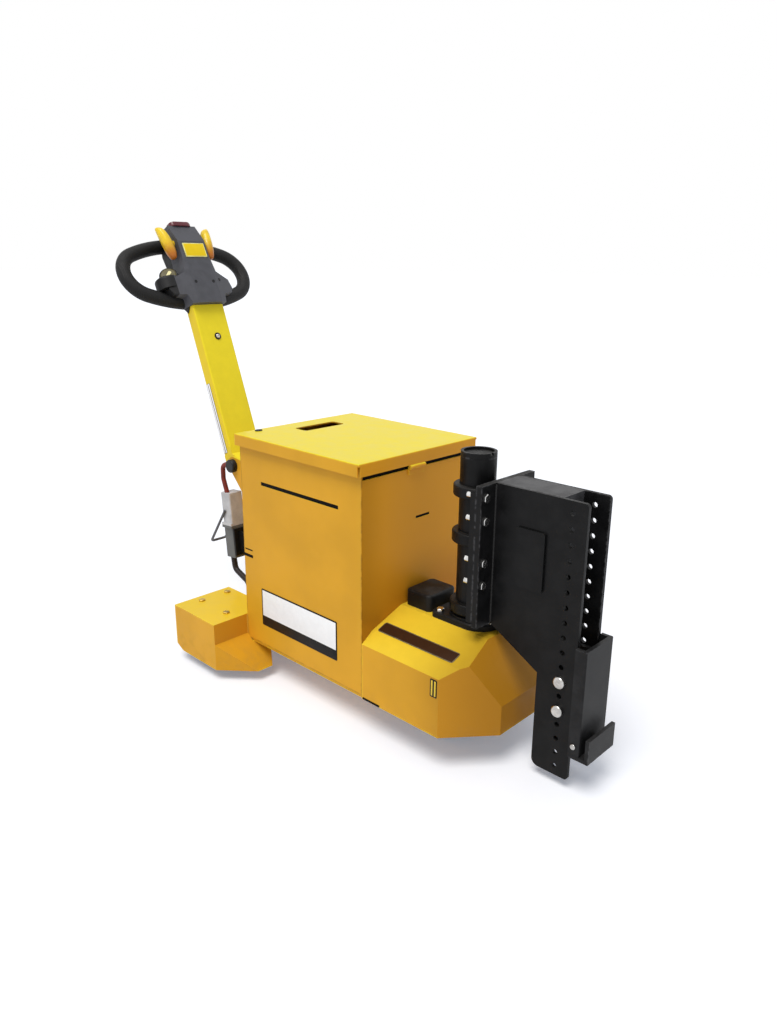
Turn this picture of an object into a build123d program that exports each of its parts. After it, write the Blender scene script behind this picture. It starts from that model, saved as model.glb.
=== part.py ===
"""Pedestrian-controlled electric tow tractor, in millimetres.

+X points forward, to the mast and the tow hitch, +Y to the left and +Z up.
The sizes below are measured from the rear face of the body and from the floor.
At the end every piece moves along X, so that the frame's origin lies on the
floor under the middle of the whole machine.
"""
from build123d import *
from math import asin, atan2, cos, radians, sin, sqrt, tan
import os

# Body: a welded sheet box that stands on the chassis plate
BODY_LENGTH = 420
BODY_WIDTH = 362
BODY_BOTTOM = 80
BODY_TOP = 618.7
SHEET = 3
RIM_WIDTH = 14
RIM_SHEET = 3
SIDE_SLOT = dict(rear_margin=78, front_margin=72, z=511, high=9)
REAR_SLOT = dict(length=34, z=315, high=5)
FRONT_SLOT = dict(y=12, length=46, z=468, high=6)

# Lid: a folded tray that hangs over the body's rim
LID_GAP = 0.3
LID_SHEET = 3
LID_SKIRT = 28
LID_FRONT_OVER = 6
LID_REAR_OVER = 4
LID_SIDE_OVER = 13
HAND_SLOT = dict(x=72, y=12, long=128, wide=44, corner=8)
LID_FOLD = 2.5
LID_NOTCH = 5
SEAM_HEIGHT = 10
HINGE_RADIUS = 5
HINGE_PIN = 2
HINGE_Y = -15
HINGE_KNUCKLES = [(-24, -10.4, True), (-10, 10, False), (10.4, 24, True)]
HINGE_GAP = 0.4
HINGE_LEAF = 18

# Chassis under the body
CHASSIS_PLATE = 8
CHASSIS_INSET = 3
RAIL_WIDTH = 30
RAIL_HEIGHT = 60
RAIL_Y = 110
RAIL_REACH = 250
CROSS_LENGTH = 120
CROSS_X = -95
BATTERY_END_ROOM = 40
BATTERY_SIDE_ROOM = 16
BATTERY_HEIGHT = 225

# Drive housing: its lengths are measured from the body's front
DRIVE_SHEET = 4
DRIVE_SIDE_LENGTH = 222
DRIVE_LENGTH = 308
DRIVE_NOSE_HALF = 81
DRIVE_SIDE_TOP = 214
DRIVE_SHOULDER_HALF = 149
DRIVE_SHOULDER = 236
DRIVE_TOP = 269.5
DRIVE_TOP_HALF = 56
DRIVE_TOP_LENGTH = 248
DRIVE_NOSE_TOP = 147
HOUSING_GAP = 0.3

# Drive axle, measured from the body's front
AXLE_AHEAD = 123
DRIVE_WHEEL_RADIUS = 100
DRIVE_WHEEL_WIDTH = 40
DRIVE_WHEEL_Y = 66
WHEEL_ROOM = 6
DRIVE_HUB_RADIUS = 68
TYRE_SHOULDER = 8
HUB_RIM = 8
HUB_DISH = 12
HUB_BOSS_RADIUS = 24
HUB_BOLTS = 5
HUB_BOLT_CIRCLE = 42
AXLE_SHAFT_RADIUS = 14
GEARBOX_LENGTH = 110
GEARBOX_WIDTH = 80
GEARBOX_HEIGHT = 120
GEARBOX_CORNER = 20
MOTOR_RADIUS = 36
MOTOR_Z = 152
MOTOR_RIB = 3
MOTOR_RIB_INSET = 9
MOTOR_ROOM = 8
SHAFT_GAP = 0.3

# Castor housings, one each side behind the body; their widths are measured from its side
CASTOR_SHEET = 4
CASTOR_BOX_REAR = -178
CASTOR_OVERHANG = 102
CASTOR_UNDERHANG = 68
CASTOR_TOP = 151
CASTOR_STEP = 97
CASTOR_BOTTOM = 28
TOE_TIP_X = 80
TOE_OVERHANG = 31
TOE_UNDERHANG = 13
REAR_CHAMFER = 30

# Castors: the stem stands in the middle of the bolts of the top plate
CASTOR_X = -95
CASTOR_INSET = 3
CASTOR_WHEEL_RADIUS = 37.5
CASTOR_WHEEL_WIDTH = 30
CASTOR_TRAIL = 18
CASTOR_HUB_RADIUS = 24
FORK_SHEET = 4
FORK_GAP = 2.5
FORK_CROWN = 98
LEG_END = 12
NUT_RADIUS = 8
NUT_THICK = 5
RACE_RADIUS = 30
RACE_BOTTOM = 102.5
MOUNT_PLATE = 12
MOUNT_LENGTH = 126
MOUNT_WIDTH = 98
MOUNT_CORNER = 8
STEM_RADIUS = 22
RACE_HEIGHT = 14
BOLT_SPREAD_X = 110
BOLT_SPREAD_Y = 80
BOLT_RADIUS = 8
BOLT_HEAD = 6

# Tower that carries the tiller
TOWER_HALF = 59.5
TOWER_SHEET = 8
TOWER_REAR = -158
TOWER_TOP = 500
TOWER_BOTTOM = 120
EAR_RADIUS = 24
EAR_DROP = 400
PIVOT_X = -205
PIVOT_Z = 482
PIN_RADIUS = 8
PIN_HEAD_RADIUS = 18
PIN_HEAD = 15
PIN_CORNER = 4

# Tiller, leaning back at rest
TILLER_LEAN = 21
ARM_WIDTH = 98
ARM_DEPTH = 38
ARM_FRONT = -8
ARM_SHEET = 4
ARM_FOOT = 34
ARM_LENGTH = 450
KNUCKLE_RADIUS = 20
KNUCKLE_GAP = 0.8
HEAD_LEAN = 6
HEAD_LENGTH = 236
HEAD_FRONT = 10
HEAD_NECK_HALF = 53
HEAD_TOP_HALF = 43
HEAD_SHOULDER_HALF = 101
HEAD_RIDGE_HALF = 38
HEAD_FALL = 22
HEAD_DEPTH = 66
HEAD_OUTLINE = [(HEAD_NECK_HALF, 0), (60, 28), (92, 35), (HEAD_SHOULDER_HALF, 50), (93, 74),
                (50, 92), (HEAD_TOP_HALF, 135), (HEAD_TOP_HALF, HEAD_LENGTH)]
SIDE_SHARES = dict(brow=0.76, brow_back=0.2, button=0.68, hump=1.3, hump_at=0.75, heel_at=0.125,
                   waist=0.67)
BOSS_X = -38
BOSS_Y = -84
BOSS_W = 73
BOSS_RADIUS = 34
BOSS_EDGE = 8
BUTTON_LENGTH = 16
BUTTON_CORNER = 7
PADDLE_W = 184
PADDLE_LONG = 92
PADDLE_WIDE = 34
PADDLE_LEAN = 14
PADDLE_FLARE = 26
PADDLE_THICK = 27
PADDLE_EDGE = 8.5
PADDLE_AXLE = 9
PADDLE_OFFSET = 12
PADDLE_GAP = 5
LOOP_LEAN = 16
LOOP_HALF_WIDTH = 188
LOOP_HALF_HEIGHT = 94
LOOP_END_RADIUS = 70
LOOP_TUBE = 19
LOOP_U = -62
LOOP_W = 114.5

# Mast: its place is measured from the body's front, the foot's from the mast
MAST_AHEAD = 162
POST_RADIUS = 38
POST_WALL = 5
POST_TOP = 637
CAP_TOP = 648
CAP_RIM = 6
CAP_RECESS = 5
CAP_NOTCH = 9
FOOT_BACK = 76
FOOT_NOSE = 18
FOOT_HALF = 55
FOOT_CORNER = 14
FOOT_THICK = 14
FOOT_EDGE = 3
FOOT_HUB_RADIUS = 50
FOOT_HUB_TOP = 288
FOOT_BOLTS = [(-57, 42, 12), (58, 16, 4)]
BLOCK_REAR_GAP = 4
BLOCK_FRONT_GAP = 8
BLOCK_HALF = 46
BLOCK_TOP = 308
BLOCK_CORNER = 12
BLOCK_EDGE = 6

# Hitch carriage, which slides up the post: lengths are measured from the mast,
# and the hitch's own from the front edge of its side plates
COLLAR_RADIUS = 51
COLLAR_GAP = 0.3
COLLAR_EDGE = 4
COLLARS = [(293, 318), (452, 477), (553, 578)]
PLATE_THICK = 14
BACKPLATE_HALF = 89.5
BACKPLATE_BOTTOM = 300
BACKPLATE_TOP = 602
SIDE_PLATE = 8
SIDE_PLATE_Y = 43
HITCH_REACH = 286
SIDE_PLATE_BOTTOM = 22
HEEL_LENGTH = 86
SIDE_PLATE_KNEE = 232
HOLE_RADIUS = 5.5
HOLE_COUNT = 18
HOLE_PITCH = 31.5
HOLE_TOP = 578
HOLE_INSET = 32
PAD_INSET = 85
PAD_LENGTH = 67
PAD_Z0 = 403
PAD_Z1 = 526
PAD_THICK = 5
PAD_CORNER = 6
PLATE_CORNER = 8
HEEL_CORNER = 16
SPACER_INSET = 56
SPACER_DEPTH = 150
SPACER_SHEET = 6
CRADLE_HALF = 50
CRADLE_REACH = 25
CRADLE_SHEET = 8
CRADLE_TOP = 317
CRADLE_BOTTOM = 82
LIP_REACH = 46
LIP_TOP = 134
TONGUE_HALF = 30
TONGUE_SHEET = 10
CRADLE_FOLD = 3
SMALL_BOLT = dict(ahead=12, z=110, radius=6)
CARRIAGE_BOLTS = [576, 528, 440, 392]
CARRIAGE_BOLT_Y = 74
CARRIAGE_BOLT_RADIUS = 9
PIN_HOLES = [11, 13]
BIG_BOLT_RADIUS = 13
DOME_SHARE = 0.7

# Battery plug behind the tower, leaning back a little, with its pull handle and two leads
PLUG_X = -213
PLUG_Y = -54.5
PLUG_BOTTOM = 219
PLUG_LEAN = 5
PLUG_LONG = 41
PLUG_WIDE = 43
SOCKET_HEIGHT = 92
PLUG_HEIGHT = 185
PLUG_BAND = 7
PLUG_CORNER = 4
PLUG_EDGE = 1.5
BRACKET_SHEET = 6
BRACKET_INSET = 8
LEAD_Y = -68
UPPER_LEAD = dict(radius=6.5, bend=16, places=[(-218, 487), (-243, 476), (-243, 440), (-227, 398)])
LOWER_LEAD = dict(radius=8, bend=20, places=[(-213, 224), (-206, 184), (-145, 160), (-145, 120)])
BAIL_RADIUS = 3.5
BAIL_BEND = 9
BAIL_PIVOT = (-3, 134)
BAIL_REACH = 130
BAIL_DROP = 50

CUT = 2


def block(x0, x1, y0, y1, z0, z1):
    """A box between two corners."""
    return Pos((x0 + x1) / 2, (y0 + y1) / 2, (z0 + z1) / 2) * Box(x1 - x0, y1 - y0, z1 - z0)


def slab_y(points, y0, y1):
    """An outline of (x, z) points, carried from y0 to y1."""
    outline = make_face(Polyline(*[(x, y0, z) for x, z in points], close=True))
    return extrude(outline, amount=y1 - y0, dir=(0, 1, 0))


def slab_z(points, z0, z1):
    """An outline of (x, y) points, carried from z0 to z1."""
    outline = make_face(Polyline(*[(x, y, z0) for x, y in points], close=True))
    return extrude(outline, amount=z1 - z0, dir=(0, 0, 1))


def slab_x(points, x0, x1):
    """An outline of (y, z) points, carried from x0 to x1."""
    outline = make_face(Polyline(*[(x0, y, z) for y, z in points], close=True))
    return extrude(outline, amount=x1 - x0, dir=(1, 0, 0))


def rod_x(y, z, radius, x0, x1):
    return Pos((x0 + x1) / 2, y, z) * Rot(0, 90, 0) * Cylinder(radius, x1 - x0)


def rod_y(x, z, radius, y0, y1):
    return Pos(x, (y0 + y1) / 2, z) * Rot(90, 0, 0) * Cylinder(radius, y1 - y0)


def rod_z(x, y, radius, z0, z1):
    return Pos(x, y, (z0 + z1) / 2) * Cylinder(radius, z1 - z0)


def bent_rod(points, radius, bend):
    """A round rod along straight runs with arcs at their corners."""
    path = FilletPolyline(*points, radius=bend)
    return sweep(Plane(origin=path @ 0, z_dir=path % 0) * Circle(radius), path=path)


def edges_at(shape, axis, low, high):
    """The edges whose middle lies between two places along an axis."""
    return shape.edges().filter_by_position(axis, low, high)


def mirrored(shape):
    """The same piece on the other side of the machine."""
    return mirror(shape, about=Plane.XZ)


pieces = {}

# Places that follow from the sizes
half_body = BODY_WIDTH / 2
floor_top = BODY_BOTTOM + CHASSIS_PLATE
lid_top = BODY_TOP + LID_GAP + LID_SHEET
skirt_foot = lid_top - LID_SKIRT
castor_y = half_body - CASTOR_INSET
castor_outer = half_body + CASTOR_OVERHANG
castor_inner = half_body - CASTOR_UNDERHANG
rail_front = BODY_LENGTH + RAIL_REACH
drive_x = BODY_LENGTH + AXLE_AHEAD
mast_x = BODY_LENGTH + MAST_AHEAD
foot_top = DRIVE_TOP + FOOT_THICK
plate_back = mast_x + COLLAR_RADIUS
plate_mid = plate_back + PLATE_THICK
plate_front = plate_mid + PLATE_THICK
hitch_front = mast_x + HITCH_REACH
cradle_back = hitch_front + HOUSING_GAP
cradle_face = hitch_front + CRADLE_REACH
lip_front = hitch_front + LIP_REACH
pin_x = hitch_front - HOLE_INSET


def body_shell():
    shell = block(0, BODY_LENGTH, -half_body, half_body, floor_top, BODY_TOP)
    shell -= block(SHEET, BODY_LENGTH - SHEET, SHEET - half_body, half_body - SHEET,
                   floor_top - CUT, BODY_TOP - RIM_SHEET)
    shell -= block(RIM_WIDTH, BODY_LENGTH - RIM_WIDTH, RIM_WIDTH - half_body,
                   half_body - RIM_WIDTH, BODY_TOP - RIM_SHEET - CUT, BODY_TOP + CUT)
    shell -= block(BODY_LENGTH - SHEET - CUT, BODY_LENGTH + CUT, SHEET - half_body,
                   half_body - SHEET, skirt_foot - SEAM_HEIGHT, skirt_foot)
    slot = SIDE_SLOT
    shell -= block(slot["rear_margin"], BODY_LENGTH - slot["front_margin"],
                   -half_body - CUT, half_body + CUT,
                   slot["z"] - slot["high"] / 2, slot["z"] + slot["high"] / 2)
    slot = REAR_SLOT
    shell -= block(-CUT, slot["length"], -half_body - CUT, SHEET + CUT - half_body,
                   slot["z"] - slot["high"] / 2, slot["z"] + slot["high"] / 2)
    slot = FRONT_SLOT
    shell -= block(BODY_LENGTH - SHEET - CUT, BODY_LENGTH + CUT,
                   slot["y"] - slot["length"] / 2, slot["y"] + slot["length"] / 2,
                   slot["z"] - slot["high"] / 2, slot["z"] + slot["high"] / 2)
    return shell


def chassis_frame():
    """The plate under the body, with rails past the drive wheels and a beam to the castors."""
    frame = block(CHASSIS_INSET, BODY_LENGTH - CHASSIS_INSET, CHASSIS_INSET - half_body,
                  half_body - CHASSIS_INSET, BODY_BOTTOM, floor_top)
    rail_inner = RAIL_Y - RAIL_WIDTH / 2
    rail_outer = RAIL_Y + RAIL_WIDTH / 2
    well = DRIVE_WHEEL_RADIUS + WHEEL_ROOM
    frame += block(BODY_LENGTH / 2, rail_front, -rail_outer, rail_outer, BODY_BOTTOM, floor_top)
    frame -= block(drive_x - well, drive_x + well, -rail_inner, rail_inner,
                   BODY_BOTTOM - CUT, floor_top + CUT)
    for side in (-1, 1):
        y0, y1 = sorted((side * rail_inner, side * rail_outer))
        frame += block(BODY_LENGTH + HOUSING_GAP, rail_front, y0, y1,
                       floor_top, floor_top + RAIL_HEIGHT)
        frame -= rod_y(drive_x, DRIVE_WHEEL_RADIUS, AXLE_SHAFT_RADIUS + SHAFT_GAP,
                       y0 - CUT, y1 + CUT)
    beam_half = castor_inner - HOUSING_GAP
    frame += block(CROSS_X - CROSS_LENGTH / 2, CHASSIS_INSET + CUT, -beam_half, beam_half,
                   BODY_BOTTOM, floor_top)
    frame += block(CROSS_X - CROSS_LENGTH / 2, -HOUSING_GAP, -beam_half, beam_half,
                   BODY_BOTTOM, TOWER_BOTTOM)
    return frame


def battery_block():
    side = half_body - BATTERY_SIDE_ROOM
    return block(BATTERY_END_ROOM, BODY_LENGTH - BATTERY_END_ROOM, -side, side,
                 floor_top, floor_top + BATTERY_HEIGHT)


def faceted_form(inset, z_low):
    """The drive housing's outline, moved inwards by a wall."""
    side = half_body - inset
    nose = BODY_LENGTH + DRIVE_LENGTH - inset
    slant = inset * (sqrt(2) - 1)
    side_end = BODY_LENGTH + DRIVE_SIDE_LENGTH - slant
    nose_half = DRIVE_NOSE_HALF - slant
    rear = BODY_LENGTH + HOUSING_GAP
    plan = [(rear, -side), (side_end, -side), (nose, -nose_half), (nose, nose_half),
            (side_end, side), (rear, side)]
    form = slab_z(plan, z_low, DRIVE_TOP)
    rise = DRIVE_TOP - inset
    half_end = [(side, z_low), (side, DRIVE_SIDE_TOP - inset / 2),
                (DRIVE_SHOULDER_HALF - inset / 2, DRIVE_SHOULDER - inset), (DRIVE_TOP_HALF, rise)]
    end = half_end + [(-y, z) for y, z in reversed(half_end)]
    form &= slab_x(end, rear, nose + CUT)
    profile = [(BODY_LENGTH, z_low), (nose, z_low), (nose, DRIVE_NOSE_TOP),
               (BODY_LENGTH + DRIVE_TOP_LENGTH - inset, rise), (BODY_LENGTH, rise)]
    form &= slab_y(profile, -side - CUT, side + CUT)
    return form


def drive_housing():
    shell = faceted_form(0, BODY_BOTTOM)
    shell -= faceted_form(DRIVE_SHEET, BODY_BOTTOM - CUT)
    return shell


def drive_unit():
    """Gearbox between the wheels, with its ribbed motor behind it."""
    z = DRIVE_WHEEL_RADIUS
    half = GEARBOX_WIDTH / 2
    rear = drive_x - GEARBOX_LENGTH / 2
    unit = block(rear, drive_x + GEARBOX_LENGTH / 2, -half, half,
                 z - GEARBOX_HEIGHT / 2, z + GEARBOX_HEIGHT / 2)
    unit = fillet(unit.edges().filter_by(Axis.Y), GEARBOX_CORNER)
    motor_rear = BODY_LENGTH + MOTOR_ROOM
    unit += rod_x(0, MOTOR_Z, MOTOR_RADIUS, motor_rear, rear + GEARBOX_CORNER)
    for x in (motor_rear + MOTOR_RIB_INSET, rear - MOTOR_RIB_INSET):
        unit += rod_x(0, MOTOR_Z, MOTOR_RADIUS + MOTOR_RIB, x - MOTOR_RIB, x + MOTOR_RIB)
    return unit


def rounded_wheel(radius, width, shoulder):
    """A tyre's outer form with rounded shoulders, on an axle along Y."""
    tyre = Rot(90, 0, 0) * Cylinder(radius, width)
    rims = tyre.edges().filter_by(GeomType.CIRCLE)
    return fillet(rims, shoulder)


def castor_housing():
    """Right side: a box over the castor with a faceted toe below its front edge."""
    def form(inset, z_low):
        rear = CASTOR_BOX_REAR + inset
        outer = inset - castor_outer
        inner = -castor_inner - inset
        box = block(rear, -inset, outer, inner, z_low, CASTOR_TOP - inset)
        toe_plan = [(-CUT - inset, outer), (-inset, outer),
                    (TOE_TIP_X - inset, inset - half_body - TOE_OVERHANG),
                    (TOE_TIP_X - inset, TOE_UNDERHANG - half_body - inset),
                    (-inset, inner), (-CUT - inset, inner)]
        toe = slab_z(toe_plan, z_low, CASTOR_STEP)
        run = TOE_TIP_X + CUT
        slope = [(-CUT - inset, z_low), (run, z_low), (TOE_TIP_X - inset, CASTOR_BOTTOM),
                 (-inset, CASTOR_STEP - inset), (-CUT - inset, CASTOR_STEP - inset)]
        toe &= slab_y(slope, outer - CUT, inner + CUT)
        return box + toe
    shell = form(0, CASTOR_BOTTOM) - form(CASTOR_SHEET, CASTOR_BOTTOM - CUT)
    heel = [(CASTOR_BOX_REAR - CUT, CASTOR_BOTTOM - CUT),
            (CASTOR_BOX_REAR + REAR_CHAMFER, CASTOR_BOTTOM - CUT),
            (CASTOR_BOX_REAR - CUT, CASTOR_BOTTOM + REAR_CHAMFER / 2)]
    shell -= slab_y(heel, -castor_outer - CUT, -castor_inner + CUT)
    shell -= block(-HOUSING_GAP, BODY_LENGTH, -half_body - HOUSING_GAP, 0,
                   BODY_BOTTOM - HOUSING_GAP, CASTOR_TOP)
    return shell


def castor_mount():
    """Right side: the castor's fixed plate and race under the housing's top."""
    top = CASTOR_TOP - CASTOR_SHEET
    plate_low = top - MOUNT_PLATE
    mount = block(CASTOR_X - MOUNT_LENGTH / 2, CASTOR_X + MOUNT_LENGTH / 2,
                  -castor_y - MOUNT_WIDTH / 2, MOUNT_WIDTH / 2 - castor_y, plate_low, top)
    mount = fillet(mount.edges().filter_by(Axis.Z), MOUNT_CORNER)
    mount += rod_z(CASTOR_X, -castor_y, STEM_RADIUS, RACE_BOTTOM, plate_low)
    mount += rod_z(CASTOR_X, -castor_y, RACE_RADIUS, RACE_BOTTOM, RACE_BOTTOM + RACE_HEIGHT)
    return mount


def castor_fork():
    """Right side: crown and two legs, trailing behind the stem, with the axle's nuts."""
    half = CASTOR_WHEEL_WIDTH / 2 + FORK_GAP
    outer = half + FORK_SHEET
    axle_x = CASTOR_X - CASTOR_TRAIL
    crown_low = FORK_CROWN - FORK_SHEET
    fork = block(CASTOR_X - RACE_RADIUS, CASTOR_X + RACE_RADIUS, -outer - castor_y,
                 outer - castor_y, crown_low, FORK_CROWN)
    for side in (-1, 1):
        y0, y1 = sorted((side * half - castor_y, side * outer - castor_y))
        leg = slab_y([(axle_x - LEG_END, CASTOR_WHEEL_RADIUS), (axle_x + LEG_END, CASTOR_WHEEL_RADIUS),
                      (CASTOR_X + RACE_RADIUS, crown_low), (CASTOR_X + RACE_RADIUS, FORK_CROWN),
                      (CASTOR_X - RACE_RADIUS, FORK_CROWN)], y0, y1)
        fork += leg + rod_y(axle_x, CASTOR_WHEEL_RADIUS, LEG_END, y0, y1)
        n0, n1 = sorted((side * outer - castor_y, side * (outer + NUT_THICK) - castor_y))
        nut = Pos(axle_x, (n0 + n1) / 2, CASTOR_WHEEL_RADIUS) * Rot(90, 0, 0)
        fork += nut * extrude(RegularPolygon(NUT_RADIUS, 6), amount=NUT_THICK / 2, both=True)
    fork += rod_z(CASTOR_X, -castor_y, RACE_RADIUS - FORK_SHEET, FORK_CROWN - CUT,
                  RACE_BOTTOM - HOUSING_GAP)
    return fork


def castor_wheel():
    """Right side: tread and hub of the castor, about its own axle."""
    axle_x = CASTOR_X - CASTOR_TRAIL
    place = Pos(axle_x, -castor_y, CASTOR_WHEEL_RADIUS)
    tread = place * rounded_wheel(CASTOR_WHEEL_RADIUS, CASTOR_WHEEL_WIDTH, FORK_SHEET)
    bore = rod_y(axle_x, CASTOR_WHEEL_RADIUS, CASTOR_HUB_RADIUS,
                 -castor_y - CASTOR_WHEEL_WIDTH, CASTOR_WHEEL_WIDTH - castor_y)
    hub_half = CASTOR_WHEEL_WIDTH / 2 + FORK_GAP - HOUSING_GAP
    hub = rod_y(axle_x, CASTOR_WHEEL_RADIUS, CASTOR_HUB_RADIUS,
                -castor_y - CASTOR_WHEEL_WIDTH / 2, CASTOR_WHEEL_WIDTH / 2 - castor_y)
    hub += rod_y(axle_x, CASTOR_WHEEL_RADIUS, PIN_HEAD_RADIUS, -castor_y - hub_half,
                 hub_half - castor_y)
    return tread - bore, hub


def drive_wheel():
    """Right side: tyre and dished hub, on a shaft from the gearbox to the rail."""
    z = DRIVE_WHEEL_RADIUS
    place = Pos(drive_x, -DRIVE_WHEEL_Y, z)
    tyre = place * rounded_wheel(DRIVE_WHEEL_RADIUS, DRIVE_WHEEL_WIDTH, TYRE_SHOULDER)
    outer = -DRIVE_WHEEL_Y - DRIVE_WHEEL_WIDTH / 2
    inner = -DRIVE_WHEEL_Y + DRIVE_WHEEL_WIDTH / 2
    core = rod_y(drive_x, z, DRIVE_HUB_RADIUS, outer - CUT, inner + CUT)
    hub = rod_y(drive_x, z, DRIVE_HUB_RADIUS, outer, inner)
    hub -= rod_y(drive_x, z, DRIVE_HUB_RADIUS - HUB_RIM, outer - CUT, outer + HUB_DISH)
    hub += rod_y(drive_x, z, HUB_BOSS_RADIUS, outer + HUB_DISH / 2, inner)
    for i in range(HUB_BOLTS):
        turn = radians(360 / HUB_BOLTS * i)
        x = drive_x + HUB_BOLT_CIRCLE * cos(turn)
        hub += rod_y(x, z + HUB_BOLT_CIRCLE * sin(turn), BOLT_RADIUS,
                     outer + HUB_DISH - BOLT_HEAD, outer + HUB_DISH)
    hub += rod_y(drive_x, z, AXLE_SHAFT_RADIUS, -RAIL_Y - RAIL_WIDTH / 2,
                 -GEARBOX_WIDTH / 2 - SHAFT_GAP)
    return tyre - core, hub


def on_plug(shape):
    """Place a shape drawn in the plug's own axes: Z along it, from its lower end."""
    return Pos(PLUG_X, PLUG_Y, PLUG_BOTTOM) * Rot(0, -PLUG_LEAN, 0) * shape


def plug_bracket():
    """The plate that the socket sits on, and the web that carries it from the tower."""
    face = PLUG_LONG / 2 + HOUSING_GAP
    top = SOCKET_HEIGHT - BRACKET_INSET
    plate = on_plug(block(face, face + BRACKET_SHEET, -PLUG_WIDE / 2, PLUG_WIDE / 2,
                          BRACKET_INSET, top))
    edge = face + BRACKET_SHEET / 2
    lean = radians(PLUG_LEAN)
    rear = [(PLUG_X + edge * cos(lean) - z * sin(lean), PLUG_BOTTOM + edge * sin(lean) + z * cos(lean))
            for z in (BRACKET_INSET * 2, top - BRACKET_INSET)]
    front = TOWER_REAR + BRACKET_SHEET
    web = slab_y([rear[0], (front, rear[0][1]), (front, rear[1][1]), rear[1]],
                 -TOWER_HALF, BRACKET_SHEET - TOWER_HALF)
    return plate + web


def tower():
    """Box column behind the body; its side plates run back into two ears."""
    inner = TOWER_HALF - TOWER_SHEET
    lower = atan2(PIVOT_Z - EAR_DROP, TOWER_REAR - PIVOT_X)
    reach = sqrt((TOWER_REAR - PIVOT_X) ** 2 + (PIVOT_Z - EAR_DROP) ** 2)
    touch = lower + asin(EAR_RADIUS / reach)
    tangent = (PIVOT_X - EAR_RADIUS * sin(touch), PIVOT_Z - EAR_RADIUS * cos(touch))
    outline = [(-HOUSING_GAP, TOWER_BOTTOM), (-HOUSING_GAP, TOWER_TOP),
               (TOWER_REAR, TOWER_TOP), (PIVOT_X, PIVOT_Z + EAR_RADIUS), (PIVOT_X, PIVOT_Z),
               tangent, (TOWER_REAR, EAR_DROP), (TOWER_REAR, TOWER_BOTTOM)]
    side = slab_y(outline, -TOWER_HALF, -inner)
    side += rod_y(PIVOT_X, PIVOT_Z, EAR_RADIUS, -TOWER_HALF, -inner)
    side -= rod_y(PIVOT_X, PIVOT_Z, PIN_RADIUS, -TOWER_HALF - CUT, CUT - inner)
    column = side + mirrored(side) + plug_bracket()
    column += block(TOWER_REAR, -HOUSING_GAP, -inner, inner, TOWER_TOP - TOWER_SHEET, TOWER_TOP)
    column += block(TOWER_REAR, TOWER_REAR + TOWER_SHEET, -inner, inner, TOWER_BOTTOM, TOWER_TOP)
    column += block(-TOWER_SHEET, -HOUSING_GAP, -inner, inner, TOWER_BOTTOM, TOWER_TOP)
    return column


def pivot_pin():
    """The pin through both ears, with a round cap on each."""
    pin = rod_y(PIVOT_X, PIVOT_Z, PIN_RADIUS, -TOWER_HALF, TOWER_HALF)
    cap = rod_y(PIVOT_X, PIVOT_Z, PIN_HEAD_RADIUS, -TOWER_HALF - PIN_HEAD, -TOWER_HALF)
    outer_rim = edges_at(cap, Axis.Y, -TOWER_HALF - PIN_HEAD - CUT, -TOWER_HALF - PIN_HEAD / 2)
    cap = fillet(outer_rim.filter_by(GeomType.CIRCLE), PIN_CORNER)
    return pin + cap + mirrored(cap)


def on_arm(shape):
    """Place a shape drawn in the arm's own axes: X to its front, Z along it."""
    return Pos(PIVOT_X, 0, PIVOT_Z) * Rot(0, -TILLER_LEAN, 0) * shape


def on_head(shape):
    """Place a shape drawn in the head's own axes, on the arm's end."""
    return on_arm(Pos(0, 0, ARM_LENGTH) * Rot(0, -HEAD_LEAN, 0) * shape)


def tiller_arm():
    back = ARM_FRONT - ARM_DEPTH
    half = ARM_WIDTH / 2
    tube = block(back, ARM_FRONT, -half, half, ARM_FOOT, ARM_LENGTH)
    tube = fillet(tube.edges().filter_by(Axis.Z), ARM_SHEET)
    tube -= block(back + ARM_SHEET, ARM_FRONT - ARM_SHEET, ARM_SHEET - half, half - ARM_SHEET,
                  ARM_FOOT + ARM_DEPTH, ARM_LENGTH + CUT)
    foot = slab_y([(KNUCKLE_RADIUS, 0), (0, -KNUCKLE_RADIUS), (back, 0), (back, ARM_FOOT),
                   (ARM_FRONT, ARM_FOOT + KNUCKLE_RADIUS), (ARM_FRONT, ARM_FOOT),
                   (KNUCKLE_RADIUS, KNUCKLE_RADIUS / 2)], -half, half)
    wide = TOWER_HALF - TOWER_SHEET - KNUCKLE_GAP
    knuckle = foot + rod_y(0, 0, KNUCKLE_RADIUS, -wide, wide)
    knuckle -= rod_y(0, 0, PIN_RADIUS + HOUSING_GAP, -wide - CUT, wide + CUT)
    return on_arm(tube + knuckle)


def loop_path():
    """The handle's centre line: four tangent arcs, drawn in the YZ plane."""
    a, b, small = LOOP_HALF_WIDTH, LOOP_HALF_HEIGHT, LOOP_END_RADIUS
    reach = a - small
    large = (reach ** 2 + b ** 2 - small ** 2) / (2 * (b - small))
    slope = atan2(large - b, reach)
    joint = (reach + small * cos(slope), small * sin(slope))
    top = ThreePointArc((-joint[0], joint[1]), (0, b), joint)
    right = ThreePointArc(joint, (a, 0), (joint[0], -joint[1]))
    bottom = ThreePointArc((joint[0], -joint[1]), (0, -b), (-joint[0], -joint[1]))
    left = ThreePointArc((-joint[0], -joint[1]), (-a, 0), (-joint[0], joint[1]))
    return Wire([*top.edges(), *right.edges(), *bottom.edges(), *left.edges()]), b


def grip_loop():
    path, top = loop_path()
    section = Plane(origin=(0, top, 0), z_dir=(1, 0, 0)) * Circle(LOOP_TUBE)
    ring = sweep(section, path=path)
    upright = Rot(0, 0, 90) * Rot(90, 0, 0) * ring
    return on_head(Pos(LOOP_U, 0, LOOP_W) * Rot(0, HEAD_LEAN - LOOP_LEAN, 0) * upright)


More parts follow.
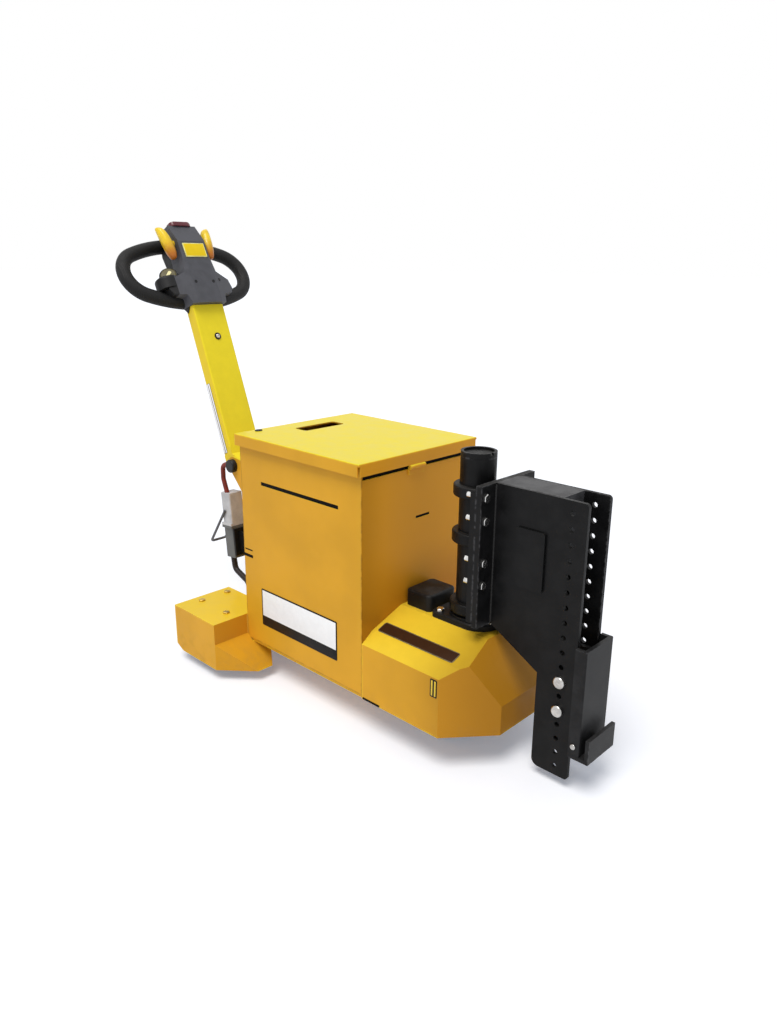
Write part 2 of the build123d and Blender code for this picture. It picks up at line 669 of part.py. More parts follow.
def head_section(flat_half):
    """The head's outline from above: a flat front whose sides fall away to the shoulders."""
    back = -HEAD_DEPTH * 2
    half = [(HEAD_FRONT, flat_half), (HEAD_FRONT - HEAD_FALL, HEAD_SHOULDER_HALF),
            (back, HEAD_SHOULDER_HALF)]
    return half + [(x, -y) for x, y in reversed(half)]


def tiller_head():
    """The head's front, side and top outlines cut through each other."""
    outline = HEAD_OUTLINE + [(-y, z) for y, z in reversed(HEAD_OUTLINE)]
    head = slab_x(outline, -HEAD_DEPTH * 2, HEAD_FRONT)
    low_back = -HEAD_DEPTH * SIDE_SHARES["waist"]
    profile = [(HEAD_FRONT, 0), (HEAD_FRONT, HEAD_LENGTH * SIDE_SHARES["brow"]),
               (-HEAD_DEPTH * SIDE_SHARES["brow_back"], HEAD_LENGTH), (-HEAD_DEPTH, HEAD_LENGTH),
               (-HEAD_DEPTH * SIDE_SHARES["hump"], HEAD_LENGTH * SIDE_SHARES["hump_at"]),
               (-HEAD_DEPTH, HEAD_LENGTH * SIDE_SHARES["heel_at"]),
               (low_back, -low_back * tan(radians(HEAD_LEAN)))]
    head &= slab_y(profile, -HEAD_SHOULDER_HALF - CUT, HEAD_SHOULDER_HALF + CUT)
    head &= slab_z(head_section(HEAD_RIDGE_HALF), -CUT, HEAD_LENGTH + CUT)
    boss = Pos(BOSS_X, BOSS_Y, BOSS_W) * Cylinder(BOSS_RADIUS, BOSS_RADIUS)
    top_rim = edges_at(boss, Axis.Z, BOSS_W, BOSS_W + BOSS_RADIUS).filter_by(GeomType.CIRCLE)
    head += fillet(top_rim, BOSS_EDGE)
    return on_head(head)


def head_button():
    """The rounded push button over the head's upper end."""
    half = HEAD_TOP_HALF - SHEET
    button = block(-HEAD_DEPTH * SIDE_SHARES["button"], -HEAD_DEPTH * SIDE_SHARES["brow_back"],
                   -half, half, HEAD_LENGTH, HEAD_LENGTH + BUTTON_LENGTH)
    upper = edges_at(button, Axis.Z, HEAD_LENGTH + BUTTON_LENGTH / 4, HEAD_LENGTH + BUTTON_LENGTH)
    return on_head(fillet(upper, BUTTON_CORNER))


def paddle():
    """Right side: one wing of the drive control, rounded, on the end of its axle."""
    wing = extrude(SlotOverall(PADDLE_LONG, PADDLE_WIDE), amount=PADDLE_THICK)
    far_rim = edges_at(wing, Axis.Z, PADDLE_THICK / 2, PADDLE_THICK + CUT)
    wing = fillet(far_rim, PADDLE_EDGE)
    turned = Rot(90, 0, 0) * Rot(0, 0, 90 + PADDLE_LEAN) * wing
    x = -HEAD_DEPTH / 2
    placed = Pos(x, -HEAD_TOP_HALF - PADDLE_OFFSET, PADDLE_W) * Rot(PADDLE_FLARE, 0, 0) * turned
    placed -= block(x - PADDLE_LONG, x + PADDLE_LONG, -HEAD_TOP_HALF - PADDLE_GAP, 0,
                    PADDLE_W - PADDLE_LONG, PADDLE_W + PADDLE_LONG)
    axle = rod_y(x, PADDLE_W, PADDLE_AXLE, -HEAD_TOP_HALF - PADDLE_OFFSET * 2, -HEAD_TOP_HALF)
    return on_head(placed + axle)


def mast_post():
    return rod_z(mast_x, 0, POST_RADIUS, foot_top, POST_TOP)


def mast_foot():
    """Base plate with a round nose, and the low hub that the post stands in."""
    rear, nose = mast_x - FOOT_BACK, mast_x + FOOT_NOSE
    foot = block(rear, nose, -FOOT_HALF, FOOT_HALF, DRIVE_TOP, foot_top)
    corners = edges_at(foot, Axis.X, rear - CUT, rear + CUT).filter_by(Axis.Z)
    foot = fillet(corners, FOOT_CORNER) + rod_z(nose, 0, FOOT_HALF, DRIVE_TOP, foot_top)
    foot = chamfer(edges_at(foot, Axis.Z, foot_top - FOOT_EDGE, foot_top + CUT), FOOT_EDGE)
    hub = rod_z(mast_x, 0, FOOT_HUB_RADIUS, foot_top, FOOT_HUB_TOP)
    hub -= rod_z(mast_x, 0, POST_RADIUS, foot_top - CUT, FOOT_HUB_TOP + CUT)
    return foot + hub


def post_cap():
    """The cap on the post's end, with a dished top and a notch in its rim."""
    cap = rod_z(mast_x, 0, POST_RADIUS, POST_TOP + HOUSING_GAP, CAP_TOP)
    cap -= rod_z(mast_x, 0, POST_RADIUS - CAP_RIM, CAP_TOP - CAP_RECESS, CAP_TOP + CUT)
    cap -= block(mast_x, mast_x + POST_RADIUS + CUT, -CAP_NOTCH, 0,
                 CAP_TOP - CAP_RECESS, CAP_TOP + CUT)
    return cap


def mast_block():
    """The rounded cover behind the foot."""
    cover = block(BODY_LENGTH + BLOCK_REAR_GAP, mast_x - FOOT_BACK - BLOCK_FRONT_GAP,
                  -BLOCK_HALF, BLOCK_HALF, DRIVE_TOP, BLOCK_TOP)
    cover = fillet(cover.edges().filter_by(Axis.Z), BLOCK_CORNER)
    return fillet(edges_at(cover, Axis.Z, BLOCK_TOP - CUT, BLOCK_TOP + CUT), BLOCK_EDGE)


def slide_carriage():
    """Three collars on the post, joined by the plate in front of them."""
    carriage = block(plate_back, plate_mid, -BACKPLATE_HALF, BACKPLATE_HALF,
                     BACKPLATE_BOTTOM + CARRIAGE_BOLT_RADIUS, BACKPLATE_TOP - PLATE_THICK)
    for low, high in COLLARS:
        collar = rod_z(mast_x, 0, COLLAR_RADIUS, low, high)
        collar = fillet(collar.edges().filter_by(GeomType.CIRCLE), COLLAR_EDGE)
        collar += block(mast_x, plate_back, -POST_RADIUS, POST_RADIUS, low, high)
        collar -= rod_z(mast_x, 0, POST_RADIUS + COLLAR_GAP, low - CUT, high + CUT)
        carriage += collar
    return carriage


def hitch_backplate():
    return block(plate_mid, plate_front, -BACKPLATE_HALF, BACKPLATE_HALF,
                 BACKPLATE_BOTTOM, BACKPLATE_TOP)


def hole_row():
    """The middles of the holes along the front of a side plate."""
    return [(pin_x, HOLE_TOP - i * HOLE_PITCH) for i in range(HOLE_COUNT)]


def side_plate():
    """Right side: the tall plate with its row of holes and raised pad."""
    heel_x = hitch_front - HEEL_LENGTH
    outline = [(plate_front, BACKPLATE_TOP), (hitch_front, BACKPLATE_TOP),
               (hitch_front, SIDE_PLATE_BOTTOM), (heel_x, SIDE_PLATE_BOTTOM),
               (heel_x, SIDE_PLATE_KNEE), (plate_front, BACKPLATE_BOTTOM)]
    plate = slab_y(outline, -SIDE_PLATE_Y, SIDE_PLATE - SIDE_PLATE_Y)
    across = plate.edges().filter_by(Axis.Y)
    front = across.filter_by_position(Axis.X, hitch_front - CUT, hitch_front + CUT)
    plate = fillet(front, PLATE_CORNER)
    low = edges_at(plate, Axis.Z, SIDE_PLATE_BOTTOM - CUT, SIDE_PLATE_BOTTOM + CUT)
    plate = fillet(low.filter_by(Axis.Y).sort_by(Axis.X)[0], HEEL_CORNER)
    for x, z in hole_row():
        plate -= rod_y(x, z, HOLE_RADIUS, -SIDE_PLATE_Y - CUT, SIDE_PLATE + CUT - SIDE_PLATE_Y)
    pad_front = hitch_front - PAD_INSET
    pad = block(pad_front - PAD_LENGTH, pad_front, -SIDE_PLATE_Y - PAD_THICK, -SIDE_PLATE_Y,
                PAD_Z0, PAD_Z1)
    return plate + fillet(pad.edges().filter_by(Axis.Y), PAD_CORNER)


def hitch_spacer():
    """The folded cover between the plates, open below."""
    half = SIDE_PLATE_Y - SIDE_PLATE
    low = BACKPLATE_TOP - SPACER_DEPTH
    front = hitch_front - SPACER_INSET
    spacer = block(plate_front, front, -half, half, low, BACKPLATE_TOP)
    spacer -= block(plate_front + SPACER_SHEET, front - SPACER_SHEET, SPACER_SHEET - half,
                    half - SPACER_SHEET, low - CUT, BACKPLATE_TOP - SPACER_SHEET)
    return spacer


def hitch_cradle():
    """The front hook: a folded channel with a shelf and a lip, and two ears between the plates."""
    cradle = block(cradle_back, cradle_face, -CRADLE_HALF, CRADLE_HALF, CRADLE_BOTTOM, CRADLE_TOP)
    corners = edges_at(cradle, Axis.X, cradle_face - CUT, cradle_face + CUT).filter_by(Axis.Z)
    cradle = fillet(corners, CRADLE_FOLD)
    hollow = CRADLE_HALF - CRADLE_SHEET
    cradle -= block(cradle_back - CUT, cradle_face - CRADLE_SHEET, -hollow, hollow,
                    CRADLE_BOTTOM + CRADLE_SHEET, CRADLE_TOP + CUT)
    cradle += block(cradle_face - CRADLE_SHEET, lip_front, -CRADLE_HALF, CRADLE_HALF,
                    CRADLE_BOTTOM, CRADLE_BOTTOM + CRADLE_SHEET)
    cradle += block(lip_front - CRADLE_SHEET, lip_front, -CRADLE_HALF, CRADLE_HALF,
                    CRADLE_BOTTOM, LIP_TOP)
    ear_outer = SIDE_PLATE_Y - SIDE_PLATE - HOUSING_GAP
    ear = block(pin_x - TONGUE_HALF, cradle_face - CRADLE_SHEET, -ear_outer, TONGUE_SHEET - ear_outer,
                CRADLE_BOTTOM + CRADLE_SHEET, CRADLE_TOP - TONGUE_HALF)
    rear = edges_at(ear, Axis.X, pin_x - TONGUE_HALF - CUT, pin_x).filter_by(Axis.Y)
    ear = fillet(rear, TONGUE_HALF / 2)
    cradle += ear + mirrored(ear)
    for index in PIN_HOLES:
        z = HOLE_TOP - index * HOLE_PITCH
        cradle -= rod_y(pin_x, z, HOLE_RADIUS, -SIDE_PLATE_Y, SIDE_PLATE_Y)
    return cradle


def dome(x, z, y_seat, radius, side):
    """A bolt's domed head on a plate's outer face, facing along Y."""
    y0, y1 = sorted((y_seat, y_seat + side * radius * DOME_SHARE))
    head = rod_y(x, z, radius, y0, y1)
    far = y0 if side < 0 else y1
    rim = edges_at(head, Axis.Y, far - CUT, far + CUT).filter_by(GeomType.CIRCLE)
    return fillet(rim, radius * DOME_SHARE / 2)


def cradle_bolts():
    """The cradle's two cross bolts with domed heads, and the small bolts at its foot."""
    bolts = []
    for index in PIN_HOLES:
        z = HOLE_TOP - index * HOLE_PITCH
        bolt = rod_y(pin_x, z, HOLE_RADIUS, -SIDE_PLATE_Y, SIDE_PLATE_Y)
        for side in (-1, 1):
            bolt += dome(pin_x, z, side * SIDE_PLATE_Y, BIG_BOLT_RADIUS, side)
        bolts.append(bolt)
    for side in (-1, 1):
        bolts.append(dome(hitch_front + SMALL_BOLT["ahead"], SMALL_BOLT["z"], side * CRADLE_HALF,
                          SMALL_BOLT["radius"], side))
    return Compound(children=bolts)


def lid():
    x0, x1 = -LID_REAR_OVER, BODY_LENGTH + LID_FRONT_OVER
    half = half_body + LID_SIDE_OVER
    tray = block(x0, x1, -half, half, skirt_foot, lid_top)
    folds = tray.edges().filter_by(Axis.Z) + edges_at(tray, Axis.Z, lid_top - CUT, lid_top + CUT)
    tray = fillet(folds, LID_FOLD)
    tray -= block(x0 + LID_SHEET, x1 - LID_SHEET, LID_SHEET - half, half - LID_SHEET,
                  skirt_foot - CUT, lid_top - LID_SHEET)
    for y in (-half, half):
        tray -= block(x1 - LID_NOTCH, x1 + CUT, y - LID_NOTCH, y + LID_NOTCH,
                      skirt_foot - CUT, lid_top - LID_SHEET - LID_FOLD)
    slot = HAND_SLOT
    hole = block(slot["x"] - slot["wide"] / 2, slot["x"] + slot["wide"] / 2,
                 slot["y"] - slot["long"] / 2, slot["y"] + slot["long"] / 2,
                 lid_top - LID_SHEET - CUT, lid_top + CUT)
    return tray - fillet(hole.edges().filter_by(Axis.Z), slot["corner"])


hinge_x = BODY_LENGTH + HINGE_RADIUS + HINGE_GAP
hinge_z = skirt_foot - HINGE_RADIUS


def lid_hinge():
    """The hinge's fixed leaf on the body's front, with its outer knuckles and its pin."""
    ends = [y for low, high, fixed in HINGE_KNUCKLES for y in (low, high)]
    y0, y1 = HINGE_Y + min(ends), HINGE_Y + max(ends)
    hinge = block(BODY_LENGTH, BODY_LENGTH + LID_SHEET, y0, y1, hinge_z - HINGE_LEAF,
                  hinge_z - HINGE_RADIUS - HINGE_GAP)
    for low, high, fixed in HINGE_KNUCKLES:
        if fixed:
            hinge += rod_y(hinge_x, hinge_z, HINGE_RADIUS, HINGE_Y + low, HINGE_Y + high)
            hinge += block(BODY_LENGTH, BODY_LENGTH + LID_SHEET, HINGE_Y + low, HINGE_Y + high,
                           hinge_z - HINGE_LEAF, hinge_z)
    hinge += rod_y(hinge_x, hinge_z, HINGE_PIN, y0, y1)
    return hinge


def lid_knuckle():
    """The lid's own knuckle, on a leaf inside its front skirt."""
    front = BODY_LENGTH + LID_FRONT_OVER
    knuckle = None
    for low, high, fixed in HINGE_KNUCKLES:
        if not fixed:
            knuckle = rod_y(hinge_x, hinge_z, HINGE_RADIUS, HINGE_Y + low, HINGE_Y + high)
            knuckle += block(front - LID_SHEET, front, HINGE_Y + low, HINGE_Y + high,
                             hinge_z, hinge_z + HINGE_LEAF / 2)
            knuckle -= rod_y(hinge_x, hinge_z, HINGE_PIN + HINGE_GAP / 2,
                             HINGE_Y + low - CUT, HINGE_Y + high + CUT)
    return knuckle


def castor_bolts():
    """Right side: the bolts that hold the castor's plate, on top of the housing."""
    return Compound(children=[
        rod_z(CASTOR_X + i * BOLT_SPREAD_X / 2, -castor_y + j * BOLT_SPREAD_Y / 2, BOLT_RADIUS,
              CASTOR_TOP, CASTOR_TOP + BOLT_HEAD) for i in (-1, 1) for j in (-1, 1)])


def foot_bolts():
    """Bolt heads at the rear corners of the foot, and low ones beside its nose."""
    return Compound(children=[rod_z(mast_x + x, side * y, BOLT_RADIUS, foot_top, foot_top + high)
                              for x, y, high in FOOT_BOLTS for side in (-1, 1)])


def carriage_bolts():
    """Bolts through the carriage's plate and the hitch's plate, four each side."""
    bolts = []
    for side in (-1, 1):
        y = side * CARRIAGE_BOLT_Y
        for z in CARRIAGE_BOLTS:
            bolt = rod_x(y, z, CARRIAGE_BOLT_RADIUS / 2, plate_back, plate_front)
            bolt += rod_x(y, z, CARRIAGE_BOLT_RADIUS, plate_back - BOLT_HEAD, plate_back)
            bolt += rod_x(y, z, CARRIAGE_BOLT_RADIUS, plate_front, plate_front + BOLT_HEAD)
            bolts.append(bolt)
    return bolts


def battery_socket():
    """The fixed half of the battery's connector, with a band round its mouth."""
    wide, deep = PLUG_LONG / 2, PLUG_WIDE / 2
    socket = block(-wide, wide, -deep, deep, 0, SOCKET_HEIGHT)
    socket = fillet(socket.edges().filter_by(Axis.Z), PLUG_CORNER)
    band = block(-wide - SHEET, wide, -deep - SHEET, deep + SHEET,
                 SOCKET_HEIGHT - PLUG_BAND, SOCKET_HEIGHT)
    return on_plug(socket + band)


def battery_plug():
    """The loose half, with its own band and a narrower end round the lead."""
    wide, deep = PLUG_LONG / 2, PLUG_WIDE / 2
    low = SOCKET_HEIGHT + HOUSING_GAP
    plug = block(-wide, wide, -deep, deep, low, PLUG_HEIGHT)
    plug = fillet(plug.edges().filter_by(Axis.Z), PLUG_CORNER)
    plug += block(-wide - SHEET, wide, -deep - SHEET, deep + SHEET, low, low + PLUG_BAND)
    plug = chamfer(edges_at(plug, Axis.Z, PLUG_HEIGHT - CUT / 2, PLUG_HEIGHT + CUT), PLUG_EDGE)
    return on_plug(plug)


def plug_bail():
    """The bent wire that pulls the plug out, on both sides of it."""
    x, z = BAIL_PIVOT
    y = PLUG_WIDE / 2 + BAIL_RADIUS
    far = (x - BAIL_REACH * cos(radians(BAIL_DROP)), z - BAIL_REACH * sin(radians(BAIL_DROP)))
    points = [(x, -y, z), (far[0], -y, far[1]), (far[0], y, far[1]), (x, y, z)]
    return on_plug(bent_rod(points, BAIL_RADIUS, BAIL_BEND))


def battery_lead(lead):
    return bent_rod([(x, LEAD_Y, z) for x, z in lead["places"]], lead["radius"], lead["bend"])


pieces["body_shell"] = body_shell()
pieces["chassis_frame"] = chassis_frame()
pieces["battery_block"] = battery_block()
pieces["drive_housing"] = drive_housing()
pieces["drive_unit"] = drive_unit()
pieces["tiller_tower"] = tower()
pieces["pivot_pin"] = pivot_pin()
pieces["mast_post"] = mast_post()
pieces["mast_foot"] = mast_foot()
pieces["post_cap"] = post_cap()
pieces["mast_block"] = mast_block()
pieces["foot_bolts"] = foot_bolts()
pieces["lid_hinge"] = lid_hinge()
pieces["battery_socket"] = battery_socket()
pieces["battery_plug"] = battery_plug() - battery_lead(UPPER_LEAD)
pieces["plug_bail"] = plug_bail()
pieces["upper_lead"] = battery_lead(UPPER_LEAD) - pivot_pin()
pieces["lower_lead"] = battery_lead(LOWER_LEAD) - battery_socket()
pieces["lid_panel"] = lid() + lid_knuckle()
pieces["tiller_arm"] = tiller_arm() - grip_loop()
pieces["tiller_head"] = tiller_head() - grip_loop()
pieces["grip_loop"] = grip_loop()
pieces["head_button"] = head_button()
pieces["paddle_right"] = paddle()
pieces["paddle_left"] = mirrored(paddle())
fixings = carriage_bolts()
pieces["slide_carriage"] = slide_carriage() - fixings
pieces["hitch_backplate"] = hitch_backplate() - fixings
pieces["carriage_bolts"] = Compound(children=fixings)
pieces["hitch_spacer"] = hitch_spacer()
pieces["hitch_cradle"] = hitch_cradle()
pieces["cradle_bolts"] = cradle_bolts()

tyre, hub = drive_wheel()
tread, castor_hub = castor_wheel()
pairs = {
    "drive_tyre": tyre, "drive_hub": hub, "castor_housing": castor_housing(),
    "castor_mount": castor_mount(), "castor_fork": castor_fork(), "castor_tread": tread,
    "castor_hub": castor_hub, "castor_bolts": castor_bolts(), "side_plate": side_plate(),
}
for name, shape in pairs.items():
    pieces[name + "_right"] = shape
    pieces[name + "_left"] = mirrored(shape)

# The frame's origin: on the floor, under the middle of the machine
boxes = [shape.bounding_box() for shape in pieces.values()]
middle = (min(b.min.X for b in boxes) + max(b.max.X for b in boxes)) / 2
print("middle of the machine from the body's rear face:", round(middle, 3))

os.makedirs("parts", exist_ok=True)
for name, shape in pieces.items():
    export_step(Pos(-middle, 0, 0) * shape, f"parts/{name}.step")
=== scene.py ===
"""Dresses a pedestrian-controlled electric tow tractor: finishes, signs, fixings, studio."""

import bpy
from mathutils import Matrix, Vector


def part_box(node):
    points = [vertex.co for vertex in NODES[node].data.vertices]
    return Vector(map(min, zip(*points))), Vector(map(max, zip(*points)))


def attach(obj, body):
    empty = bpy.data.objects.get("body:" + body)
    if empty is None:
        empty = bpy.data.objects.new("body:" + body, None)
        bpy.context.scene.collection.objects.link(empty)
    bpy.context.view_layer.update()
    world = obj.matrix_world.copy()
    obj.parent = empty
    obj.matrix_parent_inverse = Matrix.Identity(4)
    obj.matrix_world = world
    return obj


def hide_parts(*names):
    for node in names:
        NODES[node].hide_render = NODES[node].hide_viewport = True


bl_info = {
    "name": "Electric Tow Tractor",
    "version": (1, 0, 0),
    "blender": (4, 5, 0),
    "location": "View3D > Sidebar > Tow Tractor",
    "description": "Finishes, signs, fixings and studio for an electric tow tractor",
    "category": "Object",
}

from math import cos, pi, radians, sin

import bmesh
import bpy
from bpy.props import FloatProperty, FloatVectorProperty, IntProperty, PointerProperty
from mathutils import Matrix, Vector

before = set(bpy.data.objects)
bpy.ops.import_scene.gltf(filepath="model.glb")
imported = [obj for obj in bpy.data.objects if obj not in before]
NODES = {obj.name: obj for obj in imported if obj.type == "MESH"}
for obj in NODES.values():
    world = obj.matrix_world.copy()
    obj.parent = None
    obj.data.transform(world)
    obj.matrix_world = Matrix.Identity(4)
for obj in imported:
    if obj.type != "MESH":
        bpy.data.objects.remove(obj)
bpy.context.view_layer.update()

# place() takes millimetres from the body's rear face, its middle and the floor
BODY_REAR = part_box("body_shell")[0].x
BODY_LENGTH = (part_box("body_shell")[1].x - BODY_REAR) * 1000
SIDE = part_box("body_shell")[1].y * 1000
AHEAD, LEFT, UP = (1, 0, 0), (0, 1, 0), (0, 0, 1)
SIDES = (("right", -1), ("left", 1))


def place(x, y, z):
    return Vector((BODY_REAR + x / 1000, y / 1000, z / 1000))


def facing(origin, across, up):
    """A matrix that lays the XY plane on a face, with Z pointing out of it."""
    across, up = Vector(across).normalized(), Vector(up).normalized()
    turn = Matrix((across, up, across.cross(up))).transposed().to_4x4()
    return Matrix.Translation(origin) @ turn


# The tiller's arm from its pivot, and its head from the arm's upper end
ARM_LEAN, HEAD_LEAN, ARM_LENGTH = radians(-21), radians(-6), 0.45
ARM = Matrix.Translation(place(-205, 0, 482)) @ Matrix.Rotation(ARM_LEAN, 4, "Y")
HEAD = ARM @ Matrix.Translation((0, 0, ARM_LENGTH)) @ Matrix.Rotation(HEAD_LEAN, 4, "Y")


def length_of(name, description, default):
    return FloatProperty(name=name, description=description, default=default, unit="LENGTH")


def colour_of(name, description, default):
    return FloatVectorProperty(name=name, description=description, default=default,
                               subtype="COLOR", size=3)


class TugSizes(bpy.types.PropertyGroup):
    """Sizes of the pieces that the machine's frame doesn't hold."""
    sign_length: length_of(
        "Sign length", "Length of the blank sign on the body's right side", 0.275)
    sign_height: length_of(
        "Sign height", "Height of the blank sign on the body's right side", 0.097)
    sign_border: length_of("Sign border", "Width of the sign's dark outline", 0.0035)
    sign_band: length_of("Sign band", "Height of the dark band along the sign's foot", 0.026)
    strip_length: length_of(
        "Strip length", "Length of the dark label strip on the drive housing's slope", 0.214)
    strip_width: length_of(
        "Strip width", "Width of the dark label strip on the drive housing's slope", 0.031)
    tag_width: length_of("Tag width", "Width of the small tag on the drive housing", 0.018)
    tag_height: length_of("Tag height", "Height of the small tag on the drive housing", 0.040)
    arm_label_width: length_of(
        "Arm label width", "Width of the pale strip on the tiller arm's side", 0.017)
    arm_label_length: length_of(
        "Arm label length", "Length of the pale strip on the tiller arm's side", 0.196)
    badge_width: length_of("Badge width", "Width of the blank badge on the tiller's head", 0.067)
    badge_height: length_of(
        "Badge height", "Height of the blank badge on the tiller's head", 0.040)
    plate_thickness: length_of(
        "Label thickness", "How far signs and labels stand off the paint", 0.0009)
    weld_radius: length_of("Weld radius", "Radius of the weld beads", 0.0028)
    lever_length: length_of(
        "Lever length", "Length of the levers beside the tiller's head", 0.094)
    lever_flare: length_of("Lever flare", "How far the levers' upper ends stand out", 0.019)
    tyre_grooves: IntProperty(
        name="Tyre grooves", description="Grooves round each drive tyre", default=3, min=0, max=5)


class TugColours(bpy.types.PropertyGroup):
    """Colours of the paints and plastics."""
    paint: colour_of("Paint", "Yellow powder coat on upright faces", (0.72, 0.365, 0.022))
    # A darker copy of the coat for faces turned to the mast: painted shade
    paint_shaded: colour_of(
        "Shaded paint", "The same coat on faces turned to the mast", (0.80, 0.345, 0.018))
    # A paler copy of the coat for faces that look up: painted light from above
    paint_top_lit: colour_of(
        "Faded paint", "The same coat where it faces the sky", (0.86, 0.70, 0.032))
    # A paler copy of the coat along the tiller arm: painted sunlight
    paint_sunlit: colour_of(
        "Sunlit paint", "The same coat along the tiller arm", (0.93, 0.76, 0.03))
    black: colour_of("Black coat", "Black coat of the mast and the hitch", (0.006, 0.006, 0.0063))
    head: colour_of("Head plastic", "Grey shell of the tiller's head", (0.075, 0.076, 0.088))
    lever: colour_of("Lever plastic", "Yellow levers of the tiller's head", (0.90, 0.62, 0.022))
    button: colour_of("Button plastic", "Red button over the tiller's head", (0.105, 0.005, 0.014))
    sign: colour_of("Sign face", "Pale face of signs and labels", (0.98, 0.98, 0.98))
    tyre: colour_of("Drive tyre", "Grey rubber of the drive tyres", (0.30, 0.30, 0.315))


def sizes():
    return bpy.context.scene.tug_sizes


def colours():
    return bpy.context.scene.tug_colours


# Finishes

class Wire:
    """A shader socket that can stand in a plain Python sum."""

    def __init__(self, finish, socket):
        self.finish, self.socket = finish, socket

    def _maths(self, operation, *values):
        return self.finish.node("ShaderNodeMath", {"operation": operation},
                                dict(enumerate(values)))

    def __add__(self, other):
        return self._maths("ADD", self, other)

    def __sub__(self, other):
        return self._maths("SUBTRACT", self, other)

    def __rsub__(self, other):
        return self._maths("SUBTRACT", other, self)

    def __mul__(self, other):
        return self._maths("MULTIPLY", self, other)

    def __pow__(self, other):
        return self._maths("POWER", self, other)

    def __lt__(self, other):
        return self._maths("LESS_THAN", self, other)

    __radd__, __rmul__ = __add__, __mul__

    def sine(self):
        return self._maths("SINE", self)

    def size(self):
        return self._maths("ABSOLUTE", self)

    def least(self, other):
        return self._maths("MINIMUM", self, other)

    def most(self, other):
        return self._maths("MAXIMUM", self, other)

    def step(self, low, high, start=0.0, end=1.0):
        """Rises smoothly from start to end between two values of this one."""
        return self.finish.node("ShaderNodeMapRange", {"interpolation_type": "SMOOTHSTEP"},
                                {"Value": self, "From Min": low, "From Max": high,
                                 "To Min": start, "To Max": end})


class Finish:
    """A material with one Principled shader, and the few nodes that finishes are made of."""

    def __init__(self, name, roughness=0.5, metallic=0.0, specular=0.5, coat=0.0):
        self.material = bpy.data.materials.new(name)
        self.material.use_nodes = True
        self.tree = self.material.node_tree
        self.shader = self.tree.nodes["Principled BSDF"]
        for socket, value in (("Roughness", roughness), ("Metallic", metallic),
                              ("Specular IOR Level", specular), ("Coat Weight", coat),
                              ("Coat Roughness", 0.12)):
            self.shader.inputs[socket].default_value = value

    def node(self, kind, settings=None, sockets=None, out=0):
        """Adds a node: its settings first, then its sockets' values and links."""
        node = self.tree.nodes.new(kind)
        for name, value in (settings or {}).items():
            setattr(node, name, value)
        for key, value in (sockets or {}).items():
            if isinstance(value, Wire):
                self.tree.links.new(value.socket, node.inputs[key])
            else:
                node.inputs[key].default_value = value
        return Wire(self, node.outputs[out])

    def give(self, **sockets):
        """Links what varies over the surface to the shader."""
        for name, wire in sockets.items():
            self.tree.links.new(wire.socket, self.shader.inputs[name.replace("_", " ").title()])
        return self.material

    def spot(self, kind="Object"):
        return self.node("ShaderNodeTexCoord", out=kind)

    def turned(self, matrix):
        """Object coordinates seen from a piece's own axes."""
        inverse = matrix.inverted()
        return self.node("ShaderNodeMapping", {"vector_type": "POINT"},
                         {"Vector": self.spot(), "Location": inverse.translation,
                          "Rotation": inverse.to_euler()})

    def split(self, vector):
        node = self.tree.nodes.new("ShaderNodeSeparateXYZ")
        self.tree.links.new(vector.socket, node.inputs[0])
        return [Wire(self, socket) for socket in node.outputs]

    def noise(self, vector, scale, detail=2.0, roughness=0.5):
        return self.node("ShaderNodeTexNoise", {"noise_dimensions": "3D"},
                         {"Vector": vector, "Scale": scale, "Detail": detail,
                          "Roughness": roughness})

    def stretched(self, vector, x, y, z):
        return self.node("ShaderNodeVectorMath", {"operation": "MULTIPLY"},
                         {0: vector, 1: (x, y, z)})

    def mix(self, mask, first, second):
        """A colour between two colours."""
        return self.node("ShaderNodeMix", {"data_type": "RGBA"},
                         {0: mask, 6: colour4(first), 7: colour4(second)}, out=2)

    def bump(self, height, depth, strength=1.0):
        return self.node("ShaderNodeBump", None,
                         {"Height": height, "Distance": depth, "Strength": strength})


def colour4(value):
    return value if isinstance(value, Wire) else (*value[:3], 1.0)


def scaled(colour, factor):
    return tuple(min(1.0, channel * factor) for channel in colour[:3])


def edge_mask(finish, spot, box, width=0.005):
    """One along the edges of a box, nought elsewhere."""
    near = []
    for axis, wire in enumerate(finish.split(spot)):
        low, high = box[0][axis], box[1][axis]
        distance = (wire - low).size().least((wire - high).size())
        near.append(distance.step(0.0, width, 1.0, 0.0))
    a, b, c = near
    return (a * b).most(b * c).most(a * c)


